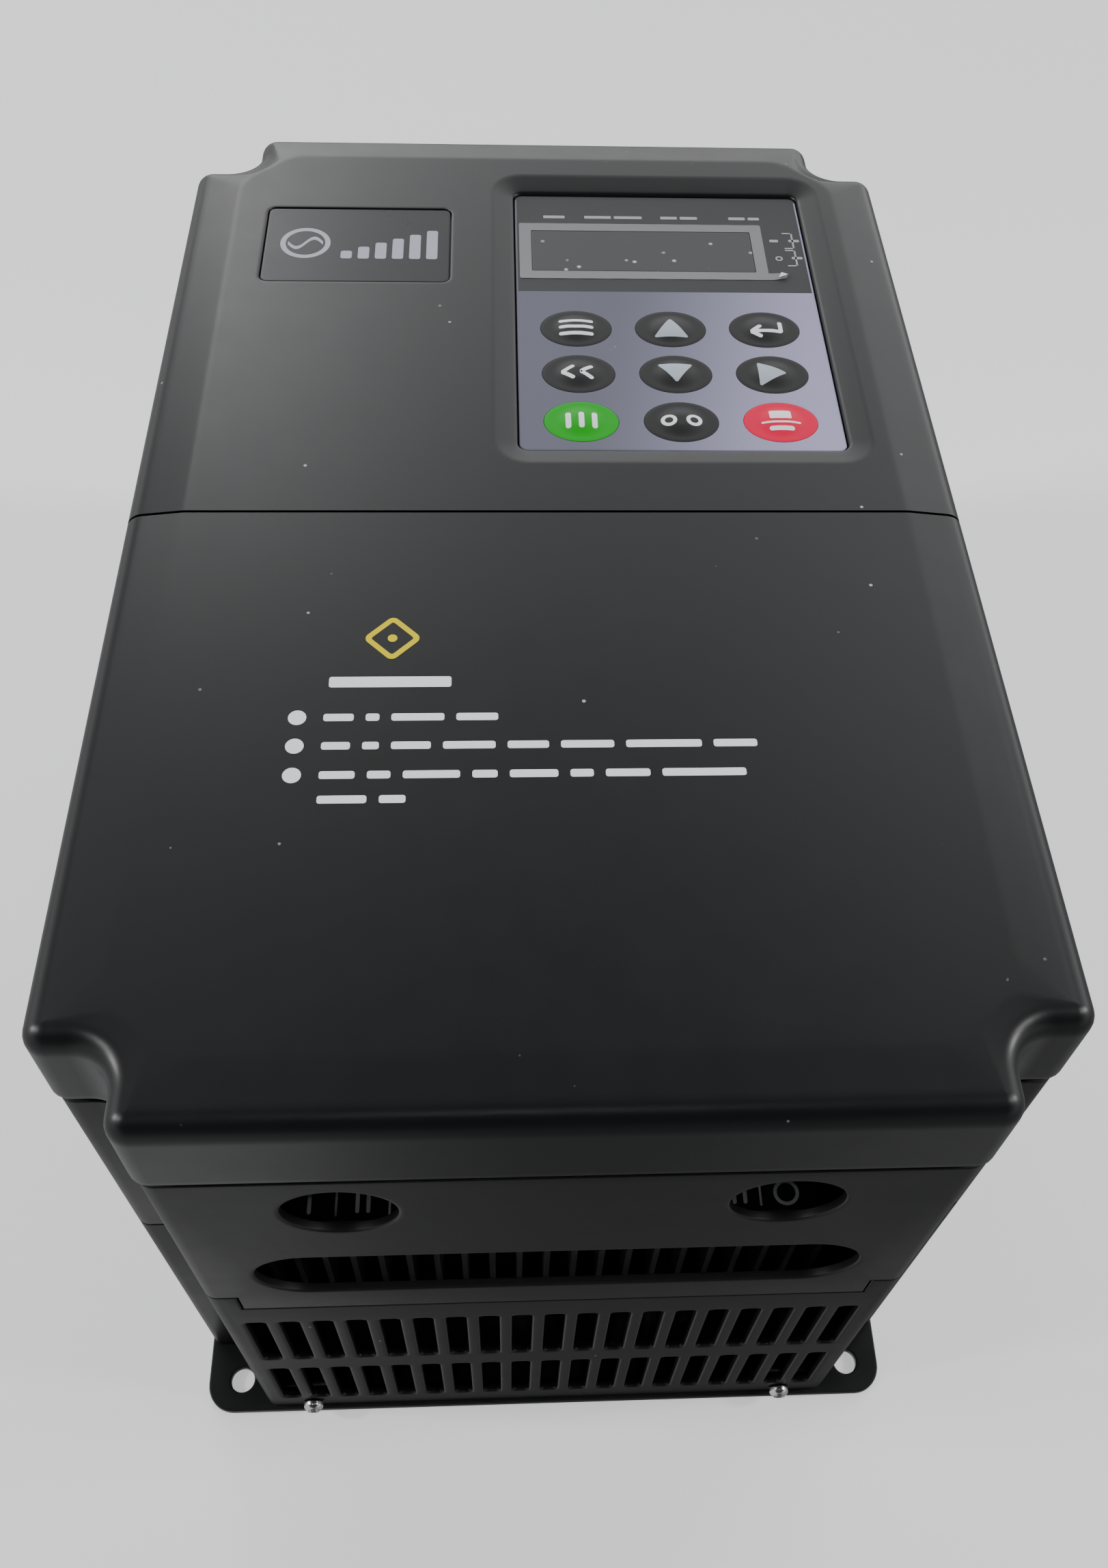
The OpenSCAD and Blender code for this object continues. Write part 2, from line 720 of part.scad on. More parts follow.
module fan_frame(x) {
    color([0.06, 0.06, 0.06]) translate([x, fan_y, fan_z]) rotate([-90, 0, 0]) union() {
        difference() {
            box_at(0, 0, 0, fan_size, fan_size, fan_depth);
            translate([0, 0, -1]) cylinder(r = fan_bore_r, h = fan_depth + 2);
            for (sx = [-1, 1], sy = [-1, 1])
                translate([sx * fan_hole, sy * fan_hole, -1]) cylinder(r = 2.2, h = fan_depth + 2);
        }
        for (a = [45:90:315]) rotate([0, 0, a])
            block([fan_hub_r - 2, fan_bore_r + 0.5], [-2, 2], [fan_depth - 3, fan_depth]);
        translate([0, 0, fan_depth - 3]) cylinder(r = fan_hub_r, h = 3);
        translate([0, 0, 5]) cylinder(r = fan_shaft_r, h = fan_depth - 6);
    }
}

module fan_blade() {
    translate([fan_hub_r - 3, 0, 11]) rotate([38, 0, 0])
        translate([0, -13, -0.7]) cube([fan_size / 2, 26, 1.4]);
}

module fan_rotor(x) {
    color([0.08, 0.08, 0.08]) translate([x, fan_y, fan_z]) rotate([-90, 0, 0]) difference() {
        union() {
            translate([0, 0, 1.5]) cylinder(r = fan_hub_r - 0.5, h = fan_depth - 6);
            intersection() {
                for (i = [0:blade_count - 1]) rotate([0, 0, i * 360 / blade_count]) fan_blade();
                difference() {
                    translate([0, 0, 2]) cylinder(r = fan_bore_r - 1, h = fan_depth - 6);
                    translate([0, 0, -1]) cylinder(r = fan_hub_r - 2, h = fan_depth);
                }
            }
        }
        translate([0, 0, 4]) cylinder(r = fan_shaft_r + 0.05, h = fan_depth);
    }
}

module fan_screws() {
    color([0.7, 0.7, 0.72]) for (x = [-fan_x, fan_x], sx = [-1, 1])
        translate([x + sx * fan_hole, fan_y - 10, fan_z + fan_hole]) rotate([-90, 0, 0])
            pan_screw(3.5, 2.5, 2, fan_depth + 10.1);
}

// ---- Fasteners ----

module plate_screws() {
    head_y = half_h - rear_inset;
    color([0.82, 0.82, 0.8]) for (sx = [-1, 1], end = [0, 180]) rotate([0, 0, end])
        translate([sx * plate_screw_x, head_y - 8, plate_screw_z]) rotate([-90, 0, 0])
            pan_screw(3.5, 2.4, 2, 8);
}

module housing_screws() {
    color([0.75, 0.75, 0.74]) for (sx = [-1, 1], sy = [-1, 1])
        translate([sx * boss_x, sy * boss_y, rear_seam - 33]) pan_screw(3.6, 3, 1.6, 52.1);
}

module tray_screws() {
    color([0.75, 0.75, 0.74]) for (sx = [-1, 1], y = tray_foot_y)
        translate([sx * tray_foot_x, y, rear_seam - 9]) pan_screw(2.6, 2, 1.5, 10.3);
}

// ---- One node at a time ----

mounting_plate();
rear_housing();
middle_end_wall(-1);  // middle_cable_wall
middle_end_wall(1);  // middle_fan_wall
middle_side(-1);  // middle_left_side
middle_side(1);  // middle_right_side
upper_cover();
lower_cover();
badge_plate();
keypad_case();
keypad_overlay();
display_lens();
display_module();
keypad_board();
keypad_plug();
key_switches();
indicator_lights();
key(-1, 1, [0.07, 0.07, 0.07]);  // key_menu
key(0, 1, [0.07, 0.07, 0.07]);  // key_up
key(1, 1, [0.07, 0.07, 0.07]);  // key_enter
key(-1, 0, [0.07, 0.07, 0.07]);  // key_escape
key(0, 0, [0.07, 0.07, 0.07]);  // key_down
key(1, 0, [0.07, 0.07, 0.07]);  // key_shift
key(-1, -1, [0.05, 0.55, 0.1]);  // key_run
key(0, -1, [0.07, 0.07, 0.07]);  // key_jog
key(1, -1, [0.85, 0.1, 0.2]);  // key_stop
heat_sink();
inverter_module();
rectifier_module();
power_board();
dc_capacitors();
busbars();
current_sensors();
start_relay();
supply_transformer();
charge_resistor();
board_standoffs();
terminal_block();
terminal_screws();
terminal_label_strip();
earth_screws();
board_tray();
control_board();
control_chips();
control_terminals();
keypad_socket();
ribbon_cable();
fan_frame(-fan_x);  // fan_frame_left
fan_rotor(-fan_x);  // fan_rotor_left
fan_frame(fan_x);  // fan_frame_right
fan_rotor(fan_x);  // fan_rotor_right
fan_screws();
plate_screws();
housing_screws();
tray_screws();
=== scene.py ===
import math
import random

import bmesh
import bpy
from mathutils import Matrix, Vector
from mathutils.geometry import delaunay_2d_cdt


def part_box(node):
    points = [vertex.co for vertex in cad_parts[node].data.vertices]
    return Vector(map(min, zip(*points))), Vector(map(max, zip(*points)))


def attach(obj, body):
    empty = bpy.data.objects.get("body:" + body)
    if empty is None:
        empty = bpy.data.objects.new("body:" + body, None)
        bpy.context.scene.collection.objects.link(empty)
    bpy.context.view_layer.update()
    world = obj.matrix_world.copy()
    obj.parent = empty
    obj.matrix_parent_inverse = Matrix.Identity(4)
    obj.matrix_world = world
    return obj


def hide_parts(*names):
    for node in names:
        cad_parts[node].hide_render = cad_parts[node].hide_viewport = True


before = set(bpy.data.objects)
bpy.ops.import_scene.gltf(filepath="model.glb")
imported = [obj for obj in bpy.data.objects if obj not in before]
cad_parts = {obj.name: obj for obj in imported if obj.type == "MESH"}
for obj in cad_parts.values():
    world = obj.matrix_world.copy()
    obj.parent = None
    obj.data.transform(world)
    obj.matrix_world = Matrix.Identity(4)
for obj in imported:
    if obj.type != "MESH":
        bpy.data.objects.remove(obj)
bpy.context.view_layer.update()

# Shapes are worked out in millimetres in the row frame and scaled once, in build().
MM = 0.001


def mm_box(node):
    low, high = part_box(node)
    return low / MM, high / MM


def front_view(low, high):
    """The middle of a box seen from the front, and its width and height."""
    return (low.x + high.x) / 2, (low.y + high.y) / 2, high.x - low.x, high.y - low.y


# ---- Driving sizes, from the frame ----

UPPER_LOW, UPPER_HIGH = mm_box("upper_cover")
LOWER_LOW = mm_box("lower_cover")[0]
MIDDLE_NODES = ["middle_cable_wall", "middle_fan_wall", "middle_left_side", "middle_right_side"]
MIDDLE_LOW, MIDDLE_HIGH = mm_box("middle_cable_wall")
REAR_LOW, REAR_HIGH = mm_box("rear_housing")
KEYPAD_LOW, KEYPAD_HIGH = mm_box("keypad_overlay")
CASE_LOW = mm_box("keypad_case")[0]
BADGE_LOW, BADGE_HIGH = mm_box("badge_plate")
LENS_LOW, LENS_HIGH = mm_box("display_lens")
PLATE_LOW, PLATE_HIGH = mm_box("mounting_plate")

HALF_W = UPPER_HIGH.x
HALF_H = UPPER_HIGH.y
FACE_Z = UPPER_HIGH.z
SEAM_Z = UPPER_LOW.z
UPPER_EDGE_Y = UPPER_LOW.y
SPLIT_GAP = 0.8
LOWER_EDGE_Y = UPPER_EDGE_Y - SPLIT_GAP

# The notched plan, its rounded rim and the sloping margins of the face.
NOTCH = 18.0
NOTCH_R = 9.0
EDGE_R = 5.0
WALL = 3.0
HOUSING_WALL = 2.0
FLAT_X = HALF_W - NOTCH - EDGE_R
MARGIN_W = 14.5
MARGIN_DROP = 2.2
LOW_DROP = 0.2
CREASE_CUT = 14.0
CREASE_R = 12.0
SEAM_ROUND = 0.4
CUT_ROUND = 0.35
MIDDLE_INSET = HALF_H + MIDDLE_LOW.y
DRAFT = 1.6 / 194.0

# Mouldings' joints, and the terminal cover's hooks and latches.
SEAM_GAP = 0.5
FRONT_SEAM_GAP = 0.4
REAR_SEAM_Z = REAR_HIGH.z
MIDDLE_FOOT_Z = REAR_SEAM_Z + SEAM_GAP
TONGUE_X = 76.0
TONGUE_Z = MIDDLE_LOW.z
LEDGE_HEIGHT = 3.0
LEDGE_DEPTH = 0.8
HOOK_X = 60.0
LATCH_X = 70.0

# Openings in the end walls. Each has a rounded edge, with a flat land round it.
CABLE_HOLE_X = 46.7
CABLE_HOLE_Z = 175.6
CABLE_HOLE_R = 12.25
SLOT_LENGTH = 139.6
SLOT_HEIGHT = 26.0
SLOT_Z = 133.0
VENT_PITCH = 8.35
VENT_W = 5.2
VENT_ROWS = ((12.3, 47.2), (57.3, 94.2))
VENT_COUNT = 19
TOP_VENT_COUNT = 15
TOP_VENT_Z = (128.0, 180.0)
HOLE_LAND = 1.3
HOLE_ROUND = 0.5

# The mounting plate, its holes and the screws through its tabs.
PLATE_T = 2.5
PLATE_SHORTER = 2.4
PLATE_HOLE_X = 92.0
PLATE_HOLE_Y = 153.0
PLATE_HOLE_R = 3.5
PLATE_SCREW_X = 69.6
PLATE_SCREW_Z = 7.2
PLATE_SCREW_HOLE_R = 2.1
PLATE_SCREW_HEAD_R = 2.9
PLATE_SCREW_HEAD_T = 2.4
TAB_GAP = 2.1
TAB_TOP_Z = 14.0

# Keypad, nameplate and display window, seen from the front.
KEYPAD_X, KEYPAD_Y, KEYPAD_W, KEYPAD_H = front_view(KEYPAD_LOW, KEYPAD_HIGH)
BADGE_X, BADGE_Y, BADGE_W, BADGE_H = front_view(BADGE_LOW, BADGE_HIGH)
LENS_X, LENS_Y, LENS_W, LENS_H = front_view(LENS_LOW, LENS_HIGH)
KEYPAD_Z = KEYPAD_HIGH.z
KEYPAD_R = 2.2
POCKET_FLOOR_Z = CASE_LOW.z - 0.3
POCKET_GAP = 0.3
POCKET_RIM = 6.6
COLOUR_SPLIT_Y = 84.9
KEY_L = 19.7
KEY_W = 15.4
KEY_RIM = 0.12
KEY_DOME = 0.75
KEY_GAP = 0.12
KEY_TRAVEL = 0.8
FILM_FRAME_W = 3.7
WINDOW_W = LENS_W - 0.1
WINDOW_H = LENS_H - 0.1

KEYS = {
    "key_menu": "menu_key", "key_up": "up_key", "key_enter": "enter_key",
    "key_escape": "escape_key", "key_down": "down_key", "key_shift": "shift_key",
    "key_run": "run_key", "key_jog": "jog_key", "key_stop": "stop_key",
}


# ---- Mesh helpers ----

def arc(cx, cy, r, start, end, steps):
    """Points along an arc, angles in degrees, both ends included."""
    points = []
    for i in range(steps + 1):
        a = math.radians(start + (end - start) * i / steps)
        points.append((cx + r * math.cos(a), cy + r * math.sin(a)))
    return points


def rounded_rect(cx, cy, w, h, r, steps=6):
    """A closed loop, counter-clockwise, round a rectangle with rounded corners."""
    r = min(r, w / 2 - 1e-3, h / 2 - 1e-3)
    x, y = w / 2 - r, h / 2 - r
    return (arc(cx + x, cy + y, r, 0, 90, steps) + arc(cx - x, cy + y, r, 90, 180, steps)
            + arc(cx - x, cy - y, r, 180, 270, steps) + arc(cx + x, cy - y, r, 270, 360, steps))


def ellipse(cx, cy, a, b, steps=48):
    return [(cx + a * math.cos(2 * math.pi * i / steps), cy + b * math.sin(2 * math.pi * i / steps))
            for i in range(steps)]


def turned(points, degrees, cx=0.0, cy=0.0):
    """Points turned about the origin, then moved."""
    a = math.radians(degrees)
    return [(cx + x * math.cos(a) - y * math.sin(a), cy + x * math.sin(a) + y * math.cos(a))
            for x, y in points]


def between(a, b, t):
    """The point that is the share t of the way from a to b."""
    return a[0] + (b[0] - a[0]) * t, a[1] + (b[1] - a[1]) * t


def sides(loop):
    """The pairs of points at the ends of a closed loop's sides."""
    return zip(loop, loop[1:] + loop[:1])


def inside(p, loop):
    """Whether a 2D point is inside a closed loop."""
    x, y = p
    hit = False
    for (x0, y0), (x1, y1) in sides(loop):
        if (y0 > y) != (y1 > y) and x < (x1 - x0) * (y - y0) / (y1 - y0) + x0:
            hit = not hit
    return hit


def counter_clockwise(loop):
    """The loop, reversed if it runs clockwise."""
    return loop[::-1] if sum(x0 * y1 - x1 * y0 for (x0, y0), (x1, y1) in sides(loop)) < 0 else loop


def all_quarters(quarter):
    """Repeats the points of the first quarter, from side to end, round the whole plan."""
    back = quarter[::-1]
    return (quarter + [(-x, y) for x, y in back] + [(-x, -y) for x, y in quarter]
            + [(x, -y) for x, y in back])


CORNER_STEPS = 6
NOTCH_STEPS = 12
QUARTER_POINTS = 2 * (CORNER_STEPS + 1) + NOTCH_STEPS + 1

# A rounded edge in three steps: the shares of its radius from one face and from the other.
ROUND = [(1 - math.sin(a), 1 - math.cos(a)) for a in (0, math.pi / 6, math.pi / 3, math.pi / 2)]


def outline(inset):
    """The notched plan of the housing, moved inwards by inset."""
    w, h = HALF_W - inset, HALF_H - inset
    r_out = max(EDGE_R - inset, 0.02)
    r_in = NOTCH_R + inset
    mid_x, mid_y = w - NOTCH + r_in, h - NOTCH + r_in
    return all_quarters(
        arc(w - r_out, h - NOTCH - r_out, r_out, 0, 90, CORNER_STEPS)
        + arc(mid_x, mid_y, r_in, 270, 180, NOTCH_STEPS)
        + arc(w - NOTCH - r_out, h - r_out, r_out, 0, 90, CORNER_STEPS))


def crease(inset):
    """The edge of the flat middle of the face: a rectangle with cut, rounded corners."""
    w, h = HALF_W - inset, HALF_H - inset
    cut = CREASE_CUT - (2 - math.sqrt(2)) * (inset - MARGIN_W)
    t = CREASE_R * math.tan(math.radians(22.5))
    low = arc(w - CREASE_R, h - cut - t, CREASE_R, 0, 45, CORNER_STEPS)
    high = arc(w - cut - t, h - CREASE_R, CREASE_R, 45, 90, CORNER_STEPS)
    # As many points as the outline has round its notch, so that the two can be joined.
    steps = NOTCH_STEPS + 2
    return all_quarters(low + [between(low[-1], high[0], i / steps) for i in range(1, steps)] + high)


def at_height(z):
    """Places 2D points on a level plane."""
    return lambda x, y: (x, y, z)


def level(z):
    """A surface of one height, for ink to lie on."""
    return lambda x, y: z


class Shape:
    """A mesh in the making, in millimetres."""

    def __init__(self):
        self.bm = bmesh.new()

    def ring(self, points, z):
        """A closed loop of vertices at one height, or at a height for each point."""
        heights = z if isinstance(z, (list, tuple)) else [z] * len(points)
        return self.chain([(x, y, h) for (x, y), h in zip(points, heights)])

    def chain(self, points):
        return [self.bm.verts.new(p) for p in points]

    def face(self, verts, slot):
        face = self.bm.faces.new(verts)
        face.material_index = slot
        return face

    def bridge(self, a, b, closed=True, slot=0):
        """Quads between two rows of vertices; seen from outside, b is above a as a runs to the right."""
        n = len(a)
        for i in range(n if closed else n - 1):
            j = (i + 1) % n
            self.face((a[i], a[j], b[j], b[i]), slot)

    def loft(self, rings, closed=True, slot=0):
        for a, b in zip(rings, rings[1:]):
            self.bridge(a, b, closed, slot)

    def recess(self, loops_and_heights):
        """Walls that run down from a face into a recess, from the outermost loop inwards."""
        self.loft([self.ring(loop, z) for loop, z in loops_and_heights][::-1])

    def fill(self, outer, holes, place, up=True, slot=0, extra=()):
        """Triangles of a face with holes. The loops are 2D points, and place gives their 3D points."""
        points, edges = [Vector(p) for p in extra], []
        for loop in [outer] + list(holes):
            first = len(points)
            points += [Vector(p) for p in loop]
            edges += [(first + i, first + (i + 1) % len(loop)) for i in range(len(loop))]
        out, _, triangles, _, _, _ = delaunay_2d_cdt(points, edges, [], 0, 1e-5)
        verts = self.chain([place(p.x, p.y) for p in out])
        for tri in triangles:
            a, b, c = (out[i] for i in tri)
            middle = ((a.x + b.x + c.x) / 3, (a.y + b.y + c.y) / 3)
            area = (b - a).cross(c - a)
            if abs(area) < 1e-9 or not inside(middle, outer) or any(inside(middle, hole) for hole in holes):
                continue
            order = tri if (area > 0) == up else tri[::-1]
            self.face([verts[i] for i in order], slot)

    def cap(self, ring, up=True, slot=0):
        self.face(ring if up else ring[::-1], slot)

    def box(self, low, high, bevel, slot=0):
        """A closed block with small rounded edges."""
        corners = self.chain([(x, y, z) for z in (low[2], high[2]) for y in (low[1], high[1])
                              for x in (low[0], high[0])])
        faces = [self.face([corners[i] for i in index], slot) for index in (
            (0, 2, 3, 1), (4, 5, 7, 6), (0, 1, 5, 4), (1, 3, 7, 5), (3, 2, 6, 7), (2, 0, 4, 6))]
        edges = list({e for f in faces for e in f.edges})
        bmesh.ops.bevel(self.bm, geom=edges, offset=bevel, segments=2, profile=0.5, affect="EDGES",
                        material=slot, clamp_overlap=True)

    def weld(self, distance=2e-3):
        bmesh.ops.remove_doubles(self.bm, verts=self.bm.verts, dist=distance)
        loose = [v for v in self.bm.verts if not v.link_faces]
        bmesh.ops.delete(self.bm, geom=loose, context="VERTS")
        bmesh.ops.recalc_face_normals(self.bm, faces=self.bm.faces)

    def cut(self, y, keep_above):
        """Cuts the closed solid by a plane across Y, closes the cut and rounds its edges."""
        side = 1 if keep_above else -1
        geom = self.bm.verts[:] + self.bm.edges[:] + self.bm.faces[:]
        bmesh.ops.bisect_plane(self.bm, geom=geom, dist=1e-4, plane_co=(0, y, 0),
                               plane_no=(0, side, 0), clear_inner=True)
        rim = [e for e in self.bm.edges if len(e.link_faces) == 1]
        bmesh.ops.edgeloop_fill(self.bm, edges=rim)
        bmesh.ops.recalc_face_normals(self.bm, faces=self.bm.faces)
        bmesh.ops.bevel(self.bm, geom=rim, offset=CUT_ROUND, segments=2, profile=0.5,
                        affect="EDGES", clamp_overlap=True)


def into_scene(name, data):
    thing = bpy.data.objects.new(name, data)
    bpy.context.scene.collection.objects.link(thing)
    return thing


def mesh_object(name, bm, materials):
    mesh = bpy.data.meshes.new(name)
    bm.to_mesh(mesh)
    bm.free()
    for material in materials:
        mesh.materials.append(material)
    return into_scene(name, mesh)


def build(name, shape, body, slot, materials, replaces=(), sharp=40.0):
    """Turns a Shape into a piece that rides on a body. Edges over the sharp angle stay sharp."""
    bm = shape.bm
    bmesh.ops.scale(bm, vec=(MM, MM, MM), verts=bm.verts)
    limit = math.radians(sharp)
    for face in bm.faces:
        face.smooth = True
    for edge in bm.edges:
        if len(edge.link_faces) == 2 and edge.calc_face_angle(0) > limit:
            edge.smooth = False
    piece = mesh_object(name, bm, materials)
    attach(piece, body)
    if replaces:
        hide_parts(*replaces)


# ---- Materials ----

class Graph:
    """A node tree, with short ways to add nodes and join them."""

    def __init__(self, tree, coords="Object"):
        self.nodes, self.links = tree.nodes, tree.links
        self.coords = self.add("TexCoord", {}).outputs[coords]

    def put(self, value, socket):
        """Gives a socket another node's output, a number, a direction or a colour."""
        if isinstance(value, bpy.types.NodeSocket):
            self.links.new(value, socket)
        else:
            socket.default_value = (*value, 1) if socket.type == "RGBA" else value

    def add(self, kind, inputs, **settings):
        node = self.nodes.new("ShaderNode" + kind)
        for key, value in settings.items():
            setattr(node, key, value)
        for key, value in inputs.items():
            self.put(value, node.inputs[key])
        return node

    def noise(self, scale, detail=3.0, roughness=0.5, vector=None):
        return self.add("TexNoise", {"Scale": scale, "Detail": detail, "Roughness": roughness,
                                     "Vector": vector or self.coords}).outputs["Fac"]

    def ramp(self, source, stops):
        """A ramp of greys; stops are (place, grey)."""
        node = self.add("ValToRGB", {"Fac": source})
        elements = node.color_ramp.elements
        while len(elements) < len(stops):
            elements.new(0.5)
        for element, (place, grey) in zip(elements, stops):
            element.position = place
            element.color = (grey, grey, grey, 1)
        return node.outputs["Color"]

    def span(self, source, low, high):
        """Maps a 0 to 1 value on to low to high."""
        return self.add("MapRange", {"To Min": low, "To Max": high, "Value": source}).outputs["Result"]

    def mix(self, factor, a, b):
        """A colour between a and b."""
        node = self.add("Mix", {0: factor, 6: a, 7: b}, data_type="RGBA")
        return node.outputs[2]

    def math(self, operation, a, b):
        return self.add("Math", {0: a, 1: b}, operation=operation).outputs[0]

    def dot(self, direction):
        """How far the coordinates reach along a direction."""
        node = self.add("VectorMath", {0: self.coords, 1: direction}, operation="DOT_PRODUCT")
        return node.outputs["Value"]

    def surface(self, colour, rough, height, strength, depth):
        """Gives the shader a colour, a roughness and a bump, its depth in millimetres."""
        bump = self.add("Bump", {"Strength": strength, "Distance": depth * MM, "Height": height})
        shader = self.nodes["Principled BSDF"]
        self.put(colour, shader.inputs["Base Color"])
        self.put(rough, shader.inputs["Roughness"])
        self.put(bump.outputs["Normal"], shader.inputs["Normal"])
        return shader


def new_material(name):
    material = bpy.data.materials.new(name)
    material.use_nodes = True
    return material, Graph(material.node_tree)


def shade(colour, gain):
    return tuple(min(c * gain, 1.0) for c in colour)


DUST = (0.55, 0.56, 0.55)


def plastic(name, colour, rough, grain=0.012, grain_scale=2600.0, dust=0.0, dust_scale=150.0,
            dust_size=0.075, dust_clear=0.60, specular=0.5, mottle=0.12, fade=None):
    """Moulded plastic: spark-eroded grain, faint flow mottle, handling marks and settled dust.

    With fade, the colour runs across the part to a second one, towards +X.
    """
    material, graph = new_material(name)
    base = graph.mix(graph.noise(22.0, 4.0, 0.6), shade(colour, 1 - mottle), shade(colour, 1 + mottle))
    if fade:
        across = graph.dot((1.0, -0.2, 0.0))
        share = graph.add("MapRange", {"From Min": 0.002, "From Max": 0.076, "Value": across},
                          interpolation_type="SMOOTHSTEP")
        base = graph.mix(share.outputs["Result"], base, fade)
    if dust:
        specks = graph.add("TexVoronoi", {"Scale": dust_scale, "Vector": graph.coords})
        dots = graph.ramp(specks.outputs["Distance"], [(0.0, 1.0), (dust_size * 0.6, 1.0), (dust_size, 0.0)])
        gate = graph.ramp(graph.noise(60.0, 2.0), [(0.0, 0.0), (dust_clear, 0.0), (dust_clear + 0.06, 1.0)])
        amount = graph.math("MULTIPLY", graph.math("MULTIPLY", dots, gate), dust)
        base = graph.mix(amount, base, DUST)
    shader = graph.surface(base, graph.span(graph.noise(90.0, 5.0, 0.65), *rough),
                           graph.noise(grain_scale, 2.0), 0.35, grain)
    shader.inputs["Specular IOR Level"].default_value = specular
    return material


def ink(name, colour, rough=(0.5, 0.6), mottle=0.03, specular=0.3):
    """Printing ink, or a key's printed film."""
    return plastic(name, colour, rough, grain=0.004, mottle=mottle, specular=specular)


def metal(name, colour, rough=(0.2, 0.35), brushed=(1.0, 1.0, 1.0)):
    """Metal with a turned or brushed grain along one axis."""
    material, graph = new_material(name)
    stretch = graph.add("Mapping", {"Scale": brushed, "Vector": graph.coords})
    grain = graph.noise(900.0, 4.0, vector=stretch.outputs["Vector"])
    tone = graph.mix(graph.noise(60.0), shade(colour, 0.85), shade(colour, 1.1))
    shader = graph.surface(tone, graph.span(grain, *rough), grain, 0.3, 0.01)
    shader.inputs["Metallic"].default_value = 1.0
    return material


def board_material(name, colour):
    """Circuit board: solder resist over bundles of traces, which run one way or the other in each patch."""
    material, graph = new_material(name)
    cells = graph.add("TexVoronoi", {"Scale": 55.0, "Vector": graph.coords}, distance="CHEBYCHEV")
    waves = [graph.add("TexWave", {"Scale": 130.0, "Vector": graph.coords}, bands_direction=way)
             for way in ("X", "Y")]
    across, along = (graph.ramp(wave.outputs["Fac"], [(0.0, 0.0), (0.55, 0.0), (0.72, 1.0)])
                     for wave in waves)
    pick = graph.ramp(cells.outputs["Color"], [(0.0, 0.0), (0.49, 0.0), (0.51, 1.0)])
    traces = graph.add("Mix", {"Factor": pick, "A": across, "B": along}).outputs["Result"]
    filled = graph.ramp(cells.outputs["Distance"], [(0.0, 1.0), (0.42, 1.0), (0.5, 0.0)])
    copper = graph.math("MULTIPLY", traces, filled)
    graph.surface(graph.mix(copper, shade(colour, 0.75), shade(colour, 1.5)),
                  graph.span(graph.noise(200.0), 0.25, 0.4), copper, 0.4, 0.03)
    return material


COVER = plastic("cover_black", (0.0056, 0.0060, 0.0070), rough=(0.31, 0.40), dust=0.8, specular=0.42)
HOUSING = plastic("housing_black", (0.0075, 0.0076, 0.0073), rough=(0.38, 0.48), dust=0.35, specular=0.42)
PLATE_PAINT = plastic("plate_paint", (0.011, 0.012, 0.012), rough=(0.3, 0.45), grain=0.02, grain_scale=900.0)
CASE = plastic("keypad_case_black", (0.022, 0.022, 0.023), rough=(0.42, 0.52))
# The film's colour grows lighter towards its right.
FILM_LIGHT = plastic("keypad_film_lilac", (0.124, 0.126, 0.172), rough=(0.42, 0.50), grain=0.006,
                     grain_scale=1800.0, mottle=0.03, dust=0.15, specular=0.25, fade=(0.40, 0.38, 0.56))
FILM_DARK = plastic("keypad_film_grey", (0.052, 0.054, 0.057), rough=(0.50, 0.58), grain=0.006,
                    grain_scale=1800.0, mottle=0.04, dust=0.3, specular=0.18)
KEY_ROUGH = (0.38, 0.46)
KEY_DARK = ink("key_charcoal", (0.021, 0.0215, 0.022), KEY_ROUGH, 0.05, 0.2)
KEY_GREEN = ink("key_green_film", (0.002, 0.360, 0.010), KEY_ROUGH, 0.04, 0.15)
KEY_RED = ink("key_red_film", (0.780, 0.003, 0.060), KEY_ROUGH, 0.04, 0.15)
INK_WHITE = ink("ink_white", (0.90, 0.92, 0.94))
INK_SILVER = ink("ink_silver", (0.42, 0.48, 0.55), (0.4, 0.5))
INK_PALE = ink("ink_pale_grey", (0.42, 0.43, 0.45), mottle=0.08)
INK_YELLOW = ink("ink_yellow", (0.76, 0.62, 0.006), mottle=0.05, specular=0.1)
BADGE = plastic("badge_gloss", (0.026, 0.027, 0.031), rough=(0.24, 0.34), grain=0.003, mottle=0.05, dust=0.25,
                specular=0.22)
BADGE_MARK = plastic("badge_mark", (0.44, 0.44, 0.52), rough=(0.35, 0.45), grain=0.003, mottle=0.05,
                     specular=0.3)
WINDOW = plastic("window_smoked", (0.060, 0.062, 0.064), rough=(0.34, 0.44), grain=0.004, mottle=0.06,
                 dust=1.0, dust_scale=230.0, dust_size=0.17, dust_clear=0.47, specular=0.22)
FILM_FRAME = plastic("film_frame", (0.215, 0.222, 0.235), rough=(0.35, 0.5), grain=0.02, grain_scale=300.0,
                     mottle=0.08, specular=0.3)
SCREW = metal("screw_zinc", (0.80, 0.80, 0.78), (0.16, 0.32))
ALUMINIUM = metal("sink_aluminium", (0.78, 0.79, 0.80), (0.30, 0.45), brushed=(1.0, 0.05, 1.0))
TRAY = metal("tray_zinc", (0.62, 0.63, 0.64), (0.3, 0.5))
COPPER = metal("bar_copper", (0.85, 0.46, 0.26), (0.25, 0.4))
BRASS = metal("brass", (0.80, 0.60, 0.28))
DARK_MOULD = plastic("inner_black", (0.009, 0.009, 0.010), rough=(0.45, 0.6), specular=0.35)
BOARD = board_material("board_green", (0.010, 0.075, 0.028))
# Near black, darker than the housings: the block's own black plastic plus painted shade of the slot it sits
# in.
TERMINAL_BLACK = plastic("terminal_black", (0.004, 0.004, 0.004), rough=(0.5, 0.65), specular=0.2)
MODULE = plastic("module_epoxy", (0.014, 0.014, 0.015), rough=(0.35, 0.5), grain=0.02, grain_scale=1200.0)
SLEEVE = plastic("capacitor_sleeve", (0.010, 0.014, 0.060), rough=(0.22, 0.34), grain=0.005, mottle=0.06)
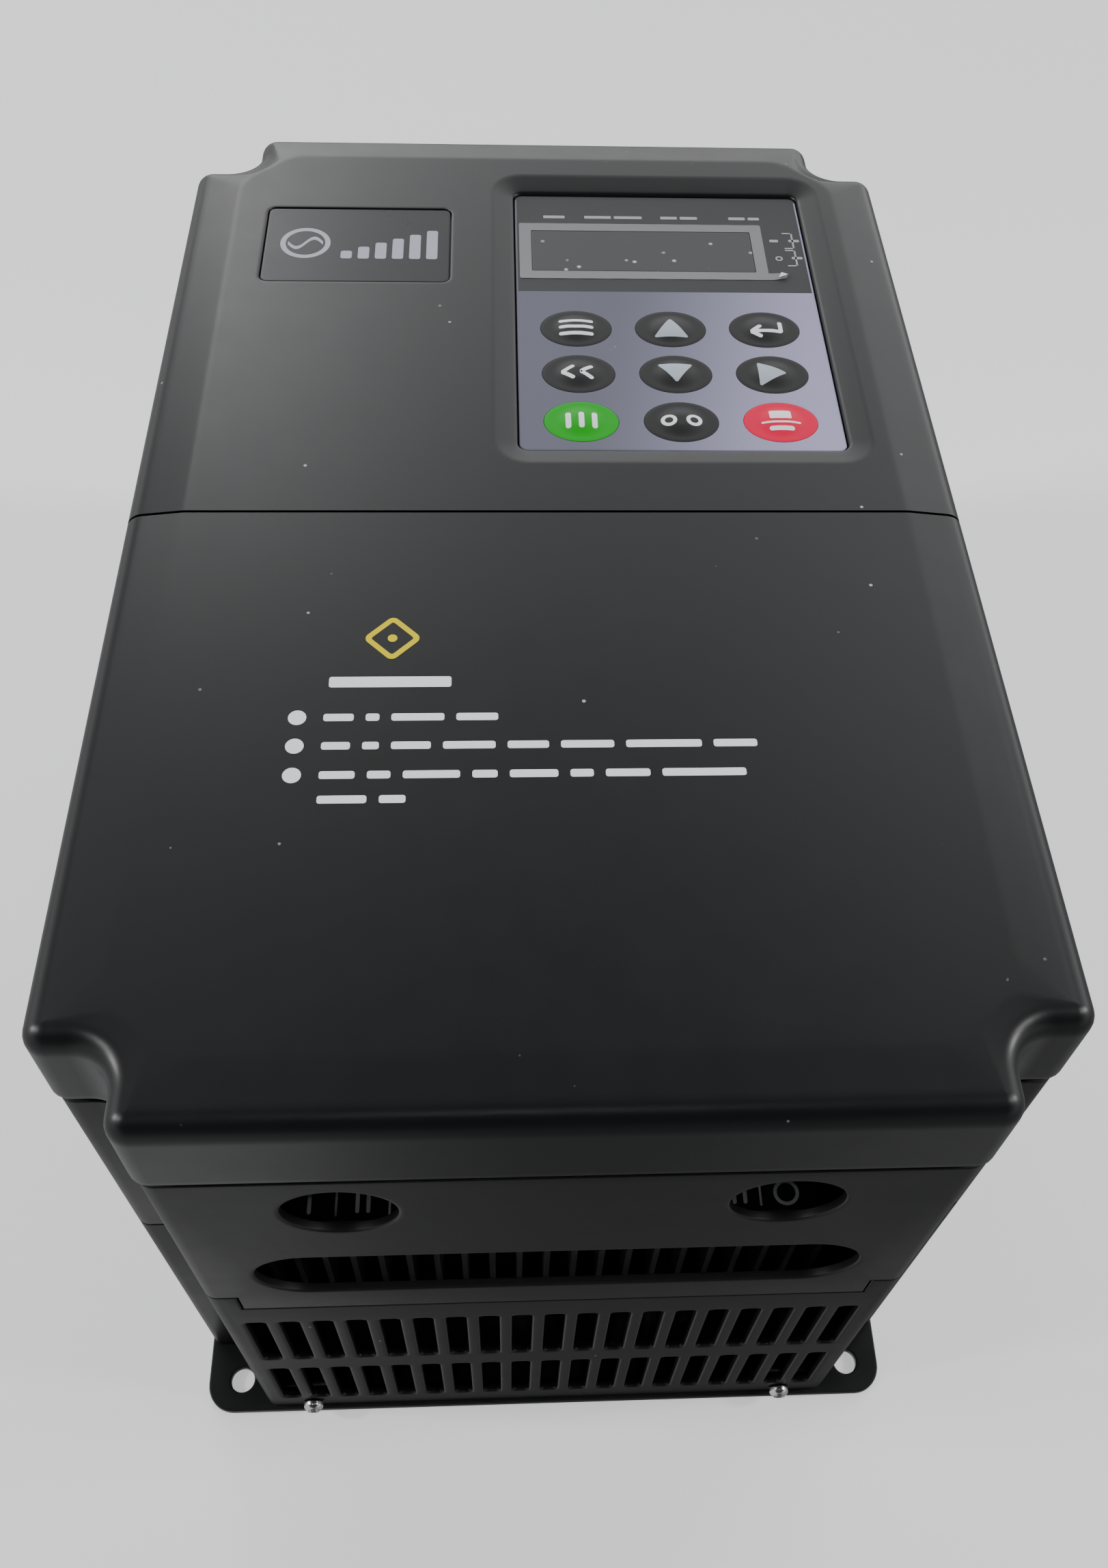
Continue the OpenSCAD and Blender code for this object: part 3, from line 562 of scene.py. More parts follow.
RELAY_BLUE = plastic("relay_blue", (0.015, 0.050, 0.190), rough=(0.3, 0.42), mottle=0.06)
FERRITE = plastic("transformer_core", (0.045, 0.044, 0.043), rough=(0.45, 0.6), grain=0.03, grain_scale=700.0)
CERAMIC = plastic("ceramic_white", (0.62, 0.60, 0.53), rough=(0.55, 0.7), grain=0.03, grain_scale=1500.0)
TERMINAL_GREEN = plastic("terminal_green", (0.012, 0.120, 0.034), rough=(0.34, 0.46), mottle=0.06)
RIBBON = plastic("ribbon_grey", (0.27, 0.27, 0.29), rough=(0.4, 0.5), mottle=0.05)
LED_RED = plastic("led_red", (0.45, 0.012, 0.010), rough=(0.15, 0.25), grain=0.003, mottle=0.03)
CHIP_TAN = plastic("chip_capacitor", (0.20, 0.12, 0.06), rough=(0.35, 0.5), mottle=0.1)
CAN_TOP = metal("can_aluminium", (0.75, 0.75, 0.76), (0.25, 0.4))


# ---- Covers ----

def smooth_step(x):
    x = min(max(x, 0.0), 1.0)
    return x * x * (3 - 2 * x)


def rim_drop(y):
    """How far the rim lies below the face; it comes up level towards the cable end."""
    return LOW_DROP + (MARGIN_DROP - LOW_DROP) * smooth_step((y + HALF_H - 10) / (HALF_H * 0.8))


def rim_rings(shape):
    """The skin from the seam up the wall, over the rim and the sloping margin to the flat middle.

    Gives the ring at the seam and the loop round the flat.
    """
    rings = [shape.ring(outline(SEAM_ROUND * far), SEAM_Z + SEAM_ROUND * near) for far, near in ROUND]
    rings.append(shape.ring(outline(0), SEAM_Z + 2))
    drops = [rim_drop(y) for x, y in outline(0)]
    rings.append(shape.ring(outline(0), [FACE_Z - drop - EDGE_R - 0.8 for drop in drops]))
    # The rim's arc stops where it meets the margin's slope, which is steeper where the drop is larger.
    stops = [math.pi / 2 - math.atan2(drop, MARGIN_W - EDGE_R) for drop in drops]
    steps = 9
    for i in range(steps + 1):
        angles = [stop * i / steps for stop in stops]
        edge = [outline(EDGE_R * (1 - math.cos(a)))[k] for k, a in enumerate(angles)]
        low = [drop + EDGE_R * (1 - math.sin(a)) for drop, a in zip(drops, angles)]
        rings.append(shape.ring(edge, [FACE_Z - h for h in low]))
    fold = crease(MARGIN_W)
    # The margin is straight, then bends into the flat over the last part of its width.
    for t, left in ((0.12, 0.88), (0.5, 0.50), (0.88, 0.125), (0.95, 0.06), (1.0, 0.02)):
        points = [between(a, b, t) for a, b in zip(edge, fold)]
        rings.append(shape.ring(points, [FACE_Z - h * left for h in low]))
    flat = crease(MARGIN_W + 1.5)
    rings += [shape.ring(crease(MARGIN_W + 0.7), FACE_Z), shape.ring(flat, FACE_Z)]
    shape.loft(rings)
    return rings[0], flat


def cover_shell(shape, face_holes=(), ceiling_holes=()):
    """Both covers as one hollow solid; the caller cuts it at the split."""
    bottom, flat = rim_rings(shape)
    shape.fill(flat, face_holes, at_height(FACE_Z))
    shoulder_z = FACE_Z - MARGIN_DROP - WALL
    foot = shape.ring(outline(WALL), SEAM_Z)
    low = shape.ring(outline(WALL), shoulder_z - 1.5)
    shape.bridge(foot, bottom)
    shape.bridge(low, foot)
    step = shape.ring(crease(MARGIN_W + 3), shoulder_z - 1.0)
    shape.bridge(step, low)
    ceiling = crease(MARGIN_W + 4)
    shape.bridge(shape.ring(ceiling, FACE_Z - WALL), step)
    shape.fill(ceiling, ceiling_holes, at_height(FACE_Z - WALL), up=False)


def pocket_loop(grow, r, wide=0.0):
    """A loop round the keypad, grown by grow, and by wide more at its top."""
    return rounded_rect(KEYPAD_X, KEYPAD_Y + wide / 2, KEYPAD_W + 2 * grow, KEYPAD_H + 2 * grow + wide, r)


def keypad_pocket(shape):
    """The pocket and the tub behind it; gives the loops of its mouth in the face and of the tub."""
    # Down the pocket: a soft lip, a dished slope, a rounded inner edge and an upright wall.
    # Each row is the loop's growth past the keypad, its depth below the face and its corners' radius.
    profile = [(POCKET_RIM + 0.7, 0.0, 9.6), (POCKET_RIM + 0.3, 0.0, 9.3), (POCKET_RIM, 0.03, 9.0),
               (POCKET_RIM - 0.4, 0.08, 8.7), (POCKET_RIM - 0.9, 0.19, 8.3), (3.6, 0.68, 6.5),
               (1.6, 1.13, 4.4), (1.1, 1.27, 3.8), (0.75, 1.42, 3.2), (0.48, 1.70, 2.8),
               (POCKET_GAP, 2.15, 2.4), (POCKET_GAP, 3.2, 2.4)]
    top_slope = 1.6
    loops = []
    for grow, depth, r in profile:
        share = min(1.0, (grow - POCKET_GAP) / (POCKET_RIM - POCKET_GAP))
        loops.append((pocket_loop(grow, r, top_slope * share), FACE_Z - depth))
    mouth, wall = loops[0][0], loops[-1][0]
    shape.recess(loops + [(wall, POCKET_FLOOR_Z)])
    plug_x, plug_y, _, _ = front_view(*mm_box("keypad_plug"))
    plug = rounded_rect(plug_x, plug_y, 24, 20, 1.0)
    shape.fill(wall, [plug], at_height(POCKET_FLOOR_Z))
    tub_z = POCKET_FLOOR_Z - 2
    shape.recess([(plug, POCKET_FLOOR_Z), (plug, tub_z)])
    tub = pocket_loop(2.5, 4.0)
    shape.fill(tub, [plug], at_height(tub_z), up=False)
    shape.bridge(shape.ring(tub, tub_z), shape.ring(tub, FACE_Z - WALL))
    return mouth, tub


def badge_recess(shape):
    """The nameplate's recess; gives the loop of its mouth in the face."""
    floor_z = BADGE_LOW.z - 0.02
    loops = [(rounded_rect(BADGE_X, BADGE_Y, BADGE_W + 2 * g, BADGE_H + 2 * g, 2.2 + g), FACE_Z - depth)
             for g, depth in ((1.4, 0.0), (0.75, 0.0), (0.45, 0.06), (0.3, 0.25))]
    mouth, wall = loops[0][0], loops[-1][0]
    shape.recess(loops + [(wall, floor_z)])
    shape.fill(wall, [], at_height(floor_z))
    return mouth


def upper_cover():
    shape = Shape()
    pocket, tub = keypad_pocket(shape)
    badge = badge_recess(shape)
    cover_shell(shape, [pocket, badge], [tub])
    shape.weld()
    shape.cut(UPPER_EDGE_Y, True)
    build("upper_cover_moulding", shape, "drive", "cover_plastic", [COVER], ["upper_cover"])


def lower_cover():
    shape = Shape()
    cover_shell(shape)
    shape.weld()
    shape.cut(LOWER_EDGE_Y, False)
    build("lower_cover_moulding", shape, "terminal_cover", "cover_plastic", [COVER], ["lower_cover"])
    tongues = Shape()
    for side in (-1, 1):
        left, right = side * HOOK_X - 9, side * HOOK_X + 9
        hook_y = LOWER_EDGE_Y - 5.5
        tongues.box((left, hook_y, FACE_Z - 7), (right, LOWER_EDGE_Y + 4.8, FACE_Z - 4.2), 0.5)
        tongues.box((left, hook_y, FACE_Z - 7), (right, LOWER_EDGE_Y - 0.4, FACE_Z - 2.5), 0.3)
        left, right = side * LATCH_X - 6, side * LATCH_X + 6
        tongues.box((left, 5.6 - HALF_H, SEAM_Z - 7), (right, 7.6 - HALF_H, FACE_Z - WALL), 0.5)
        tongues.box((left, 4.8 - HALF_H, SEAM_Z - 6.6), (right, 5.8 - HALF_H, SEAM_Z - 4.6), 0.3)
    ceiling_z = FACE_Z - WALL
    for x in (-36, -12, 12, 36):
        tongues.box((x - 0.8, 24 - HALF_H, ceiling_z - 6), (x + 0.8, LOWER_EDGE_Y - 14, ceiling_z + 0.2), 0.3)
    build("lower_cover_hooks_and_ribs", tongues, "terminal_cover", "cover_plastic", [COVER])


# ---- Housings ----

def inset_at(z):
    """How far the housings stand inside the covers, growing towards the base by the mould's draft."""
    return MIDDLE_INSET + DRAFT * (MIDDLE_HIGH.z - z)


def chain_offset(chain, d):
    """Moves an open polyline of axis-parallel pieces to its left by d, keeping its two ends' x."""
    pieces = list(zip(chain, chain[1:]))
    out = []
    for i, (x, z) in enumerate(chain):
        dx = dz = 0.0
        for (x0, z0), (x1, z1) in pieces[max(i - 1, 0):i + 1]:
            if abs(z1 - z0) < 1e-6:
                dz = math.copysign(d, x1 - x0)
            else:
                dx = -math.copysign(d, z1 - z0)
        out.append((x + dx, z + dz))
    return out


def housing_sides(shape, section):
    """The walls round both long sides, lofted from (height, depth) points round the wall's section."""
    n = QUARTER_POINTS
    for left in (False, True):
        rows = []
        for z, depth in section:
            loop = outline(inset_at(z) + depth)
            side = loop[n:3 * n] if left else loop[3 * n:] + loop[:n]
            rows.append(shape.chain([(x, y, z) for x, y in side]))
        shape.loft(rows + [rows[0]], closed=False)


def end_chain(side_z, middle_z, half):
    """The edge of an end wall from left to right, which steps to another height over its middle."""
    ends = [(-FLAT_X, side_z), (FLAT_X, side_z)]
    if abs(side_z - middle_z) < 1e-6:
        return ends
    step = [(-half, side_z), (-half, middle_z), (half, middle_z), (half, side_z)]
    return ends[:1] + step + ends[1:]


def end_wall(shape, sign, foot, top, shoulder_drop, holes):
    """One end wall between two edges, with rounded edges and holes."""
    def place(x, z, depth=0.0):
        return (x, sign * (HALF_H - inset_at(z) - depth), z)

    def row(points, depth):
        return shape.chain([place(x, z, depth) for x, z in points])

    low = [(x, z - shoulder_drop) for x, z in top]
    face = chain_offset(foot, SEAM_ROUND) + chain_offset(low, SEAM_ROUND)
    outward = sign < 0
    shape.fill(face, [hole(HOLE_LAND) for hole in holes], place, up=outward)
    shape.fill(foot + top, [hole(0.0) for hole in holes], lambda x, z: place(x, z, HOUSING_WALL),
               up=not outward)
    for edge, inner_edge in ((foot, foot), (low, top)):
        rows = [row(chain_offset(edge, SEAM_ROUND * far), SEAM_ROUND * near) for far, near in ROUND]
        if edge is low and shoulder_drop:
            rows += [row(low, LEDGE_DEPTH), row(top, LEDGE_DEPTH)]
        shape.loft(rows + [row(inner_edge, HOUSING_WALL)], closed=False)
    for hole in holes:
        rings = [row(hole(HOLE_LAND), 0.0)]
        rings += [row(hole(HOLE_ROUND * far), HOLE_ROUND * near) for far, near in ROUND]
        shape.loft(rings + [row(hole(0.0), HOUSING_WALL)])


def housing(name, nodes, foot, top, front_holes, back_holes, ledge=False):
    """A shell that follows the notched plan. Its foot and top are (side height, middle height, half width).

    With a ledge, the wall steps inwards under its top edge, which leaves a dark line under the covers.
    """
    shape = Shape()
    side_foot, side_top = foot[0], top[0]
    shoulder_drop = LEDGE_HEIGHT if ledge else 0.0
    shoulder = side_top - shoulder_drop
    # Round the wall's section: up the outside, over the top edge, down the inside and along the foot.
    section = [(side_foot, HOUSING_WALL)]
    section += [(side_foot + SEAM_ROUND * near, SEAM_ROUND * far) for far, near in ROUND]
    section += [(shoulder - SEAM_ROUND * far, SEAM_ROUND * near) for far, near in ROUND]
    if ledge:
        section += [(shoulder, LEDGE_DEPTH), (side_top, LEDGE_DEPTH)]
    housing_sides(shape, section + [(side_top, HOUSING_WALL)])
    for sign, holes in ((-1, front_holes), (1, back_holes)):
        end_wall(shape, sign, end_chain(*foot), end_chain(*top)[::-1], shoulder_drop, holes)
    shape.weld()
    build(name, shape, "drive", "housing_plastic", [HOUSING], nodes)


def slot_hole(x, z, w, h, r, steps):
    """A hole with rounded corners, as a function that gives its loop grown by some amount."""
    return lambda grow: rounded_rect(x, z, w + 2 * grow, h + 2 * grow, r + grow, steps)


def round_hole(x, z, r):
    return lambda grow: ellipse(x, z, r + grow, r + grow, 64)


def vent_row(count, z0, z1):
    return [slot_hole((i - (count - 1) / 2) * VENT_PITCH, (z0 + z1) / 2, VENT_W, z1 - z0, 1.5, 4)
            for i in range(count)]


def housings():
    cable = [round_hole(side * CABLE_HOLE_X, CABLE_HOLE_Z, CABLE_HOLE_R) for side in (-1, 1)]
    cable.append(slot_hole(0, SLOT_Z, SLOT_LENGTH, SLOT_HEIGHT, SLOT_HEIGHT / 2, 16))
    top_z = SEAM_Z - FRONT_SEAM_GAP
    housing("middle_housing_moulding", MIDDLE_NODES, (MIDDLE_FOOT_Z, TONGUE_Z, TONGUE_X),
            (top_z, top_z, TONGUE_X), cable, vent_row(TOP_VENT_COUNT, *TOP_VENT_Z), ledge=True)
    holes = [hole for row in VENT_ROWS for hole in vent_row(VENT_COUNT, *row)]
    holes += [round_hole(side * PLATE_SCREW_X, PLATE_SCREW_Z, PLATE_SCREW_HOLE_R) for side in (-1, 1)]
    housing("rear_housing_moulding", ["rear_housing"], (REAR_LOW.z, REAR_LOW.z, TONGUE_X),
            (REAR_SEAM_Z, TONGUE_Z - SEAM_GAP, TONGUE_X + SEAM_GAP), holes, holes)


upper_cover()
lower_cover()
housings()


# ---- Keypad ----

def flat_plate(shape, loop_at, z0, z1, bevel, holes_at=(), floor_z=None):
    """A plate with rounded edges. loop_at(d) is its outline moved inwards by d.

    Each hole(d) is wider by d. The holes go through, or down to floor_z if one is given.
    """
    foot = [(bevel + 0.4, z0)] + [(bevel * far, z0 + bevel * near) for far, near in ROUND]
    top = [(d, z0 + z1 - z) for d, z in foot[::-1]]
    shape.loft([shape.ring(loop_at(d), z) for d, z in foot + top])
    blind = floor_z is not None
    for hole in holes_at:
        rings = [shape.ring(hole(d), z) for d, z in ([(0, floor_z)] if blind else foot) + top]
        shape.loft(rings[::-1])
        if blind:
            shape.cap(rings[0])
    d = foot[0][0]
    for z, up in ((z0, False), (z1, True)):
        holes = [hole(d) for hole in holes_at] if up or not blind else []
        shape.fill(loop_at(d), holes, at_height(z), up=up)


def inset_rect(cx, cy, w, h, r, sharper=0.0, steps=6):
    """A rectangle's loop as a function of how far it moves inwards.

    Its corners' radius falls by sharper times as much.
    """
    return lambda d: rounded_rect(cx, cy, w - 2 * d, h - 2 * d, r - sharper * d, steps)


def key_height(x, y):
    """Height of the film over a key, above the key's edge."""
    rim = math.hypot(x / (KEY_L / 2), y / (KEY_W / 2))
    dome = math.hypot(x * 0.94, y * 1.04)
    return (KEY_RIM * (1 - smooth_step((rim - 0.92) / 0.08) * 0.5)
            + KEY_DOME * (1 - smooth_step((dome - 1.4) / 5.2)))


def key_place(node):
    return front_view(*mm_box(node))[:2]


def key_loop(node, grow):
    return ellipse(*key_place(node), KEY_L / 2 + grow, KEY_W / 2 + grow)


def key_look(node):
    """A key's material and slot."""
    own = {"key_run": (KEY_GREEN, "key_green"), "key_stop": (KEY_RED, "key_red")}
    return own.get(node, (KEY_DARK, "key_dark"))


# The rings of a key's top, as shares of its size.
KEY_RINGS = [1.0, 0.985, 0.96, 0.93, 0.89, 0.84] + [0.06 * i for i in range(13, 0, -1)]


def key_caps():
    for node, body in KEYS.items():
        cx, cy = key_place(node)
        shape = Shape()
        rings = [shape.ring(key_loop(node, 0), mm_box(node)[0].z)]
        for share in KEY_RINGS:
            points = ellipse(cx, cy, KEY_L / 2 * share, KEY_W / 2 * share)
            rings.append(shape.ring(points, [KEYPAD_Z + key_height(x - cx, y - cy) for x, y in points]))
        shape.loft(rings)
        shape.cap(rings[-1])
        shape.cap(rings[0], up=False)
        shape.weld()
        material, slot = key_look(node)
        build(node + "_cap", shape, body, slot, [material], [node], sharp=60)


# Signs are lists of (outer loop, holes), about the sign's middle.

def arrow(turn):
    """An arrow head with cut corners that points up, turned by an angle in degrees."""
    points = [(0.0, 3.6), (-4.4, -3.4), (4.4, -3.4)]
    soft = [between(points[i], points[j], 0.06) for i in range(3) for j in (i - 1, (i + 1) % 3)]
    return turned(counter_clockwise(soft), turn), []


def bar(cx, cy, w, h, turn=0.0, r=None):
    """A bar with rounded ends, turned by an angle in degrees."""
    return turned(rounded_rect(0, 0, w, h, min(w, h) / 2 if r is None else r, 5), turn, cx, cy), []


def ring_sign(cx, cy, r, line, steps=40):
    return ellipse(cx, cy, r, r, steps), [ellipse(cx, cy, r - line, r - line, steps)]


def bar_row(x, y, widths, gap, h, r):
    """Bars side by side from x, as words stand in a line."""
    signs = []
    for width in widths:
        signs.append(bar(x + width / 2, y, width, h, r=r))
        x += width + gap
    return signs


SIGNS = {
    "key_menu": [bar(0, y, 8.6, 1.1) for y in (2.4, 0, -2.4)],
    "key_up": [arrow(0)],
    "key_down": [arrow(180)],
    "key_shift": [arrow(-90)],
    "key_enter": [bar(0.6, -1.2, 7.4, 1.1), bar(4.0, 0.6, 1.1, 4.2),
                  bar(-2.2, -0.2, 3.4, 1.1, 38), bar(-2.2, -2.2, 3.4, 1.1, -38)],
    "key_escape": [bar(x, y, 3.9, 1.1, turn) for x in (-2.6, 1.9) for y, turn in ((1.2, 38), (-1.0, -38))],
    "key_run": [bar(x, 0, 1.3, 5.4) for x in (-3.1, 3.1, 0)],
    "key_jog": [ring_sign(x, 0, 1.9, 0.9) for x in (-3.0, 3.0)],
    "key_stop": [(rounded_rect(0, 2.1, 5.2, 3.0, 0.4), []), bar(0, -0.6, 9.4, 0.6), bar(0, -2.6, 6.0, 1.3)],
}
KEY_SIGN_SIZE = 1.12


def scaled(loop, gain):
    return [(x * gain, y * gain) for x, y in loop]


def dense(loop, step):
    """The loop with points no further apart than step."""
    out = []
    for a, b in sides(loop):
        n = max(1, math.ceil(math.dist(a, b) / step))
        out += [between(a, b, i / n) for i in range(n)]
    return out


def decal(shape, signs, cx, cy, height, thick=0.05, grid=None, slot=0):
    """A layer of ink or film. height(x, y) is the surface under it, about the sign's middle.

    With a grid, it has points that far apart, and so follows a curved surface.
    """
    for outer, holes in signs:
        extra = []
        if grid:
            outer, holes = dense(outer, grid), [dense(hole, grid) for hole in holes]
            xs, ys = zip(*outer)
            nx, ny = int((max(xs) - min(xs)) / grid) + 1, int((max(ys) - min(ys)) / grid) + 1
            extra = [(min(xs) + i * grid, min(ys) + j * grid) for i in range(nx + 1) for j in range(ny + 1)]
            extra = [p for p in extra if inside(p, outer) and not any(inside(p, hole) for hole in holes)]
        shape.fill(outer, holes, lambda x, y: (cx + x, cy + y, height(x, y) + thick), slot=slot, extra=extra)
        for loop in [outer] + holes:
            is_hole = loop is not outer
            loop = counter_clockwise(loop)
            points = [(cx + x, cy + y) for x, y in loop]
            rings = [shape.ring(points, [height(x, y) + up for x, y in loop]) for up in (-0.02, thick)]
            shape.loft(rings[::-1] if is_hole else rings, slot=slot)


def key_signs():
    for node, signs in SIGNS.items():
        shape = Shape()
        signs = [(scaled(outer, KEY_SIGN_SIZE), [scaled(hole, KEY_SIGN_SIZE) for hole in holes])
                 for outer, holes in signs]
        colour = INK_SILVER if node in ("key_up", "key_down", "key_shift") else INK_WHITE
        decal(shape, signs, *key_place(node), lambda x, y: KEYPAD_Z + key_height(x, y), thick=0.04, grid=0.7)
        build(node + "_sign", shape, KEYS[node], key_look(node)[1], [colour], sharp=50)


def clip_loop(loop, y, above):
    """The part of a convex loop on one side of a line across Y."""
    side = 1 if above else -1
    out = []
    for p, q in sides(loop):
        a, b = (p[1] - y) * side, (q[1] - y) * side
        if a >= 0:
            out.append(p)
        if (a > 0 > b) or (a < 0 < b):
            out.append((between(p, q, a / (a - b))[0], y))
    return out


def keypad_front():
    """The keypad's printed film, in two colours, with holes for the keys and the window."""
    shape = Shape()
    foot_z, z, soft = KEYPAD_LOW.z, KEYPAD_Z, 0.18
    flat_in = soft + 0.4
    loop_at = inset_rect(KEYPAD_X, KEYPAD_Y, KEYPAD_W, KEYPAD_H, KEYPAD_R, sharper=1)
    lines = [(0.0, foot_z), (0.0, z - soft), (soft * 0.3, z - soft * 0.3), (soft, z), (flat_in, z)]
    shape.loft([shape.ring(loop_at(d), h) for d, h in lines])
    for face in shape.bm.faces:
        face.material_index = 0 if face.calc_center_median().y < COLOUR_SPLIT_Y else 1
    key_holes = [key_loop(node, KEY_GAP) for node in KEYS]
    lens = rounded_rect(LENS_X, LENS_Y, LENS_W, LENS_H, 0.5, 4)
    shape.fill(clip_loop(loop_at(flat_in), COLOUR_SPLIT_Y, False), key_holes, at_height(z), slot=0)
    shape.fill(clip_loop(loop_at(flat_in), COLOUR_SPLIT_Y, True), [lens], at_height(z), slot=1)
    for loop in key_holes + [lens]:
        shape.bridge(shape.ring(loop, z), shape.ring(loop, foot_z), slot=1 if loop is lens else 0)
    shape.fill(loop_at(0), key_holes + [lens], at_height(foot_z), up=False)
    shape.weld(5e-4)
    build("keypad_film", shape, "keypad", "keypad_film", [FILM_LIGHT, FILM_DARK], ["keypad_overlay"],
          sharp=50)


def keypad_body():
    """The keypad's case below the film, with a well under each key."""
    shape = Shape()
    side_gap = 0.05
    loop_at = inset_rect(KEYPAD_X, KEYPAD_Y, KEYPAD_W - 2 * side_gap, KEYPAD_H - 2 * side_gap, KEYPAD_R)
    wells = [lambda d, node=node: key_loop(node, KEY_GAP + d) for node in KEYS]
    key_foot = min(mm_box(node)[0].z for node in KEYS)
    flat_plate(shape, loop_at, CASE_LOW.z, KEYPAD_LOW.z - 0.02, 0.3, wells,
               floor_z=max(key_foot - KEY_TRAVEL - 0.1, CASE_LOW.z + 1))
    shape.weld(5e-4)
    build("keypad_case_moulding", shape, "keypad", "keypad_plastic", [CASE], ["keypad_case"])


def display_window():
    """The smoked window."""
    shape = Shape()
    loop_at = inset_rect(LENS_X, LENS_Y, WINDOW_W, WINDOW_H, 0.5, steps=4)
    flat_plate(shape, loop_at, LENS_LOW.z, KEYPAD_Z + 0.02, 0.08)
    shape.weld(5e-4)
    build("display_window", shape, "keypad", "display_window", [WINDOW], ["display_lens"], sharp=50)


def window_film():
    """The film frame round the window, which still has its pull tab."""
    shape = Shape()
    film_z, fw = KEYPAD_Z + 0.03, FILM_FRAME_W

    def film_height(x, y):
        """The film lies flat, with small ripples near its free edge."""
        return film_z + 0.05 * math.sin(x * 0.35 + 0.4 * y) ** 2 * smooth_step((abs(y) - WINDOW_H / 2) / fw)

    outer = rounded_rect(0, 0, WINDOW_W + 2 * fw, WINDOW_H + 2 * fw, 0.6, 4)
    inner = rounded_rect(0, 0, WINDOW_W + 0.4, WINDOW_H + 0.4, 0.4, 4)
    decal(shape, [(outer, [inner])], LENS_X, LENS_Y, film_height, thick=0.06, grid=1.6)
    # The tab and its white curled back, from the frame's lower right corner.
    tab_x, tab_y = LENS_X + WINDOW_W / 2 + fw, LENS_Y - WINDOW_H / 2 - fw
    tab = [(-0.2, 0.0), (4.6, 0.2), (5.3, 1.0), (3.4, 2.9), (-0.2, 3.1)]
    curl = [(2.6, 0.7), (5.2, 0.9), (3.6, 2.7)]
    for loop, z, lift, slot in ((tab, film_z, 0.028, 0), (curl, KEYPAD_Z + 0.16, 0.05, 1)):
        loop = [(tab_x + x, tab_y + y) for x, y in loop]
        decal(shape, [(loop, [])], 0, 0, lambda x, y, z=z, lift=lift: z + lift * max(x - tab_x, 0) ** 2,
              thick=0.06, grid=0.6, slot=slot)
    build("window_film", shape, "keypad", "keypad_film", [FILM_FRAME, INK_WHITE], sharp=60)


def keypad_print():
    """Small generic marks by the status lights and the units, in place of the words there."""
    shape = Shape()
    signs = []
    for x, widths in ((1.2, (6.4,)), (13.5, (8.0, 8.4)), (36.4, (5.0, 5.2)), (57.0, (5.0, 3.4))):
        signs += bar_row(x, LENS_HIGH.y + 7.0, widths, 0.9, 1.3, 0.3)
    # Two brackets to the right of the window, each with a bar beside it, and three marks on their left.
    x = LENS_HIGH.x + 12.6
    for high, low in ((113.6, 106.2), (105.2, 97.8)):
        middle = (high + low) / 2
        signs += [bar(x - 1.3, high, 3.0, 0.5), bar(x, middle, 0.5, high - low + 0.5),
                  bar(x - 1.3, low, 3.0, 0.5), bar(x + 0.4, middle, 3.2, 1.1, r=0.3)]
    signs += [bar(x - 5.6, 109.8, 2.6, 1.2, r=0.3), ring_sign(x - 5.0, 101.2, 1.1, 0.45),
              bar(x - 5.6, 93.0, 2.6, 1.2, r=0.3)]
    decal(shape, signs, 0, 0, level(KEYPAD_Z), thick=0.03)
    build("keypad_marks", shape, "keypad", "keypad_film", [INK_PALE])


# ---- Nameplate and printing on the covers ----

def nameplate():
    shape = Shape()
    flat_plate(shape, inset_rect(BADGE_X, BADGE_Y, BADGE_W, BADGE_H, 2.0, sharper=1), BADGE_LOW.z,
               BADGE_HIGH.z, 0.2)
    shape.weld(5e-4)
    build("nameplate", shape, "drive", "nameplate", [BADGE], ["badge_plate"], sharp=50)
    # A plain sign: a wave in a ring, and bars that grow.
    x, y = -15.0, 0.5
    signs = [ring_sign(x, y, 7.2, 1.5, 64)]
    wave = [(x + t * 5.0, y + 2.3 * math.sin(math.pi * t)) for t in [i / 12 - 1 for i in range(25)]]
    signs.append(([(px, py - 0.75) for px, py in wave] + [(px, py + 0.75) for px, py in wave[::-1]], []))
    for i in range(6):
        tall = 3.6 + 2.0 * i
        signs.append((rounded_rect(-3.0 + 4.9 * i, -6.7 + tall / 2, 3.2, tall, 0.7, 4), []))
    marks = Shape()
    decal(marks, signs, BADGE_X, BADGE_Y, level(BADGE_HIGH.z))
    build("nameplate_sign", marks, "drive", "nameplate", [BADGE_MARK])


def cover_print():
    """Generic printing on the terminal cover: a diamond sign, a heading bar and rows of plain bars."""
    yellow, white = Shape(), Shape()
    sign_x, sign_y, size = -37.2, -46.2, 9.6

    def diamond(side, r):
        return turned(rounded_rect(0, 0, side, side, r), 45)

    decal(yellow, [(diamond(size, 1.6), [diamond(size - 2.6, 0.6)]), (ellipse(0, 0, 1.1, 1.1, 24), [])],
          sign_x, sign_y, level(FACE_Z), thick=0.03)
    build("cover_sign", yellow, "terminal_cover", "cover_plastic", [INK_YELLOW])
    signs = [bar(sign_x, -59.0, 27.2, 3.0, r=0.6)]
    rows = ((-68.9, (6.6, 3.0, 11.6, 9.2)), (-76.6, (6.2, 3.6, 8.6, 11.4, 9.0, 11.6, 16.6, 9.6)),
            (-84.3, (7.6, 5.0, 12.2, 5.4, 10.4, 5.0, 9.6, 18.2)))
    for y, widths in rows:
        signs.append((ellipse(-57.1, y, 2.0, 2.0, 24), []))
        signs += bar_row(-51.4, y, widths, 2.6, 2.0, 0.6)
    signs += bar_row(-51.4, -90.6, (10.4, 5.6), 2.6, 2.0, 0.6)
    decal(white, signs, 0, 0, level(FACE_Z), thick=0.03)
    build("cover_marks", white, "terminal_cover", "cover_plastic", [INK_WHITE])


# ---- Mounting plate and fasteners ----

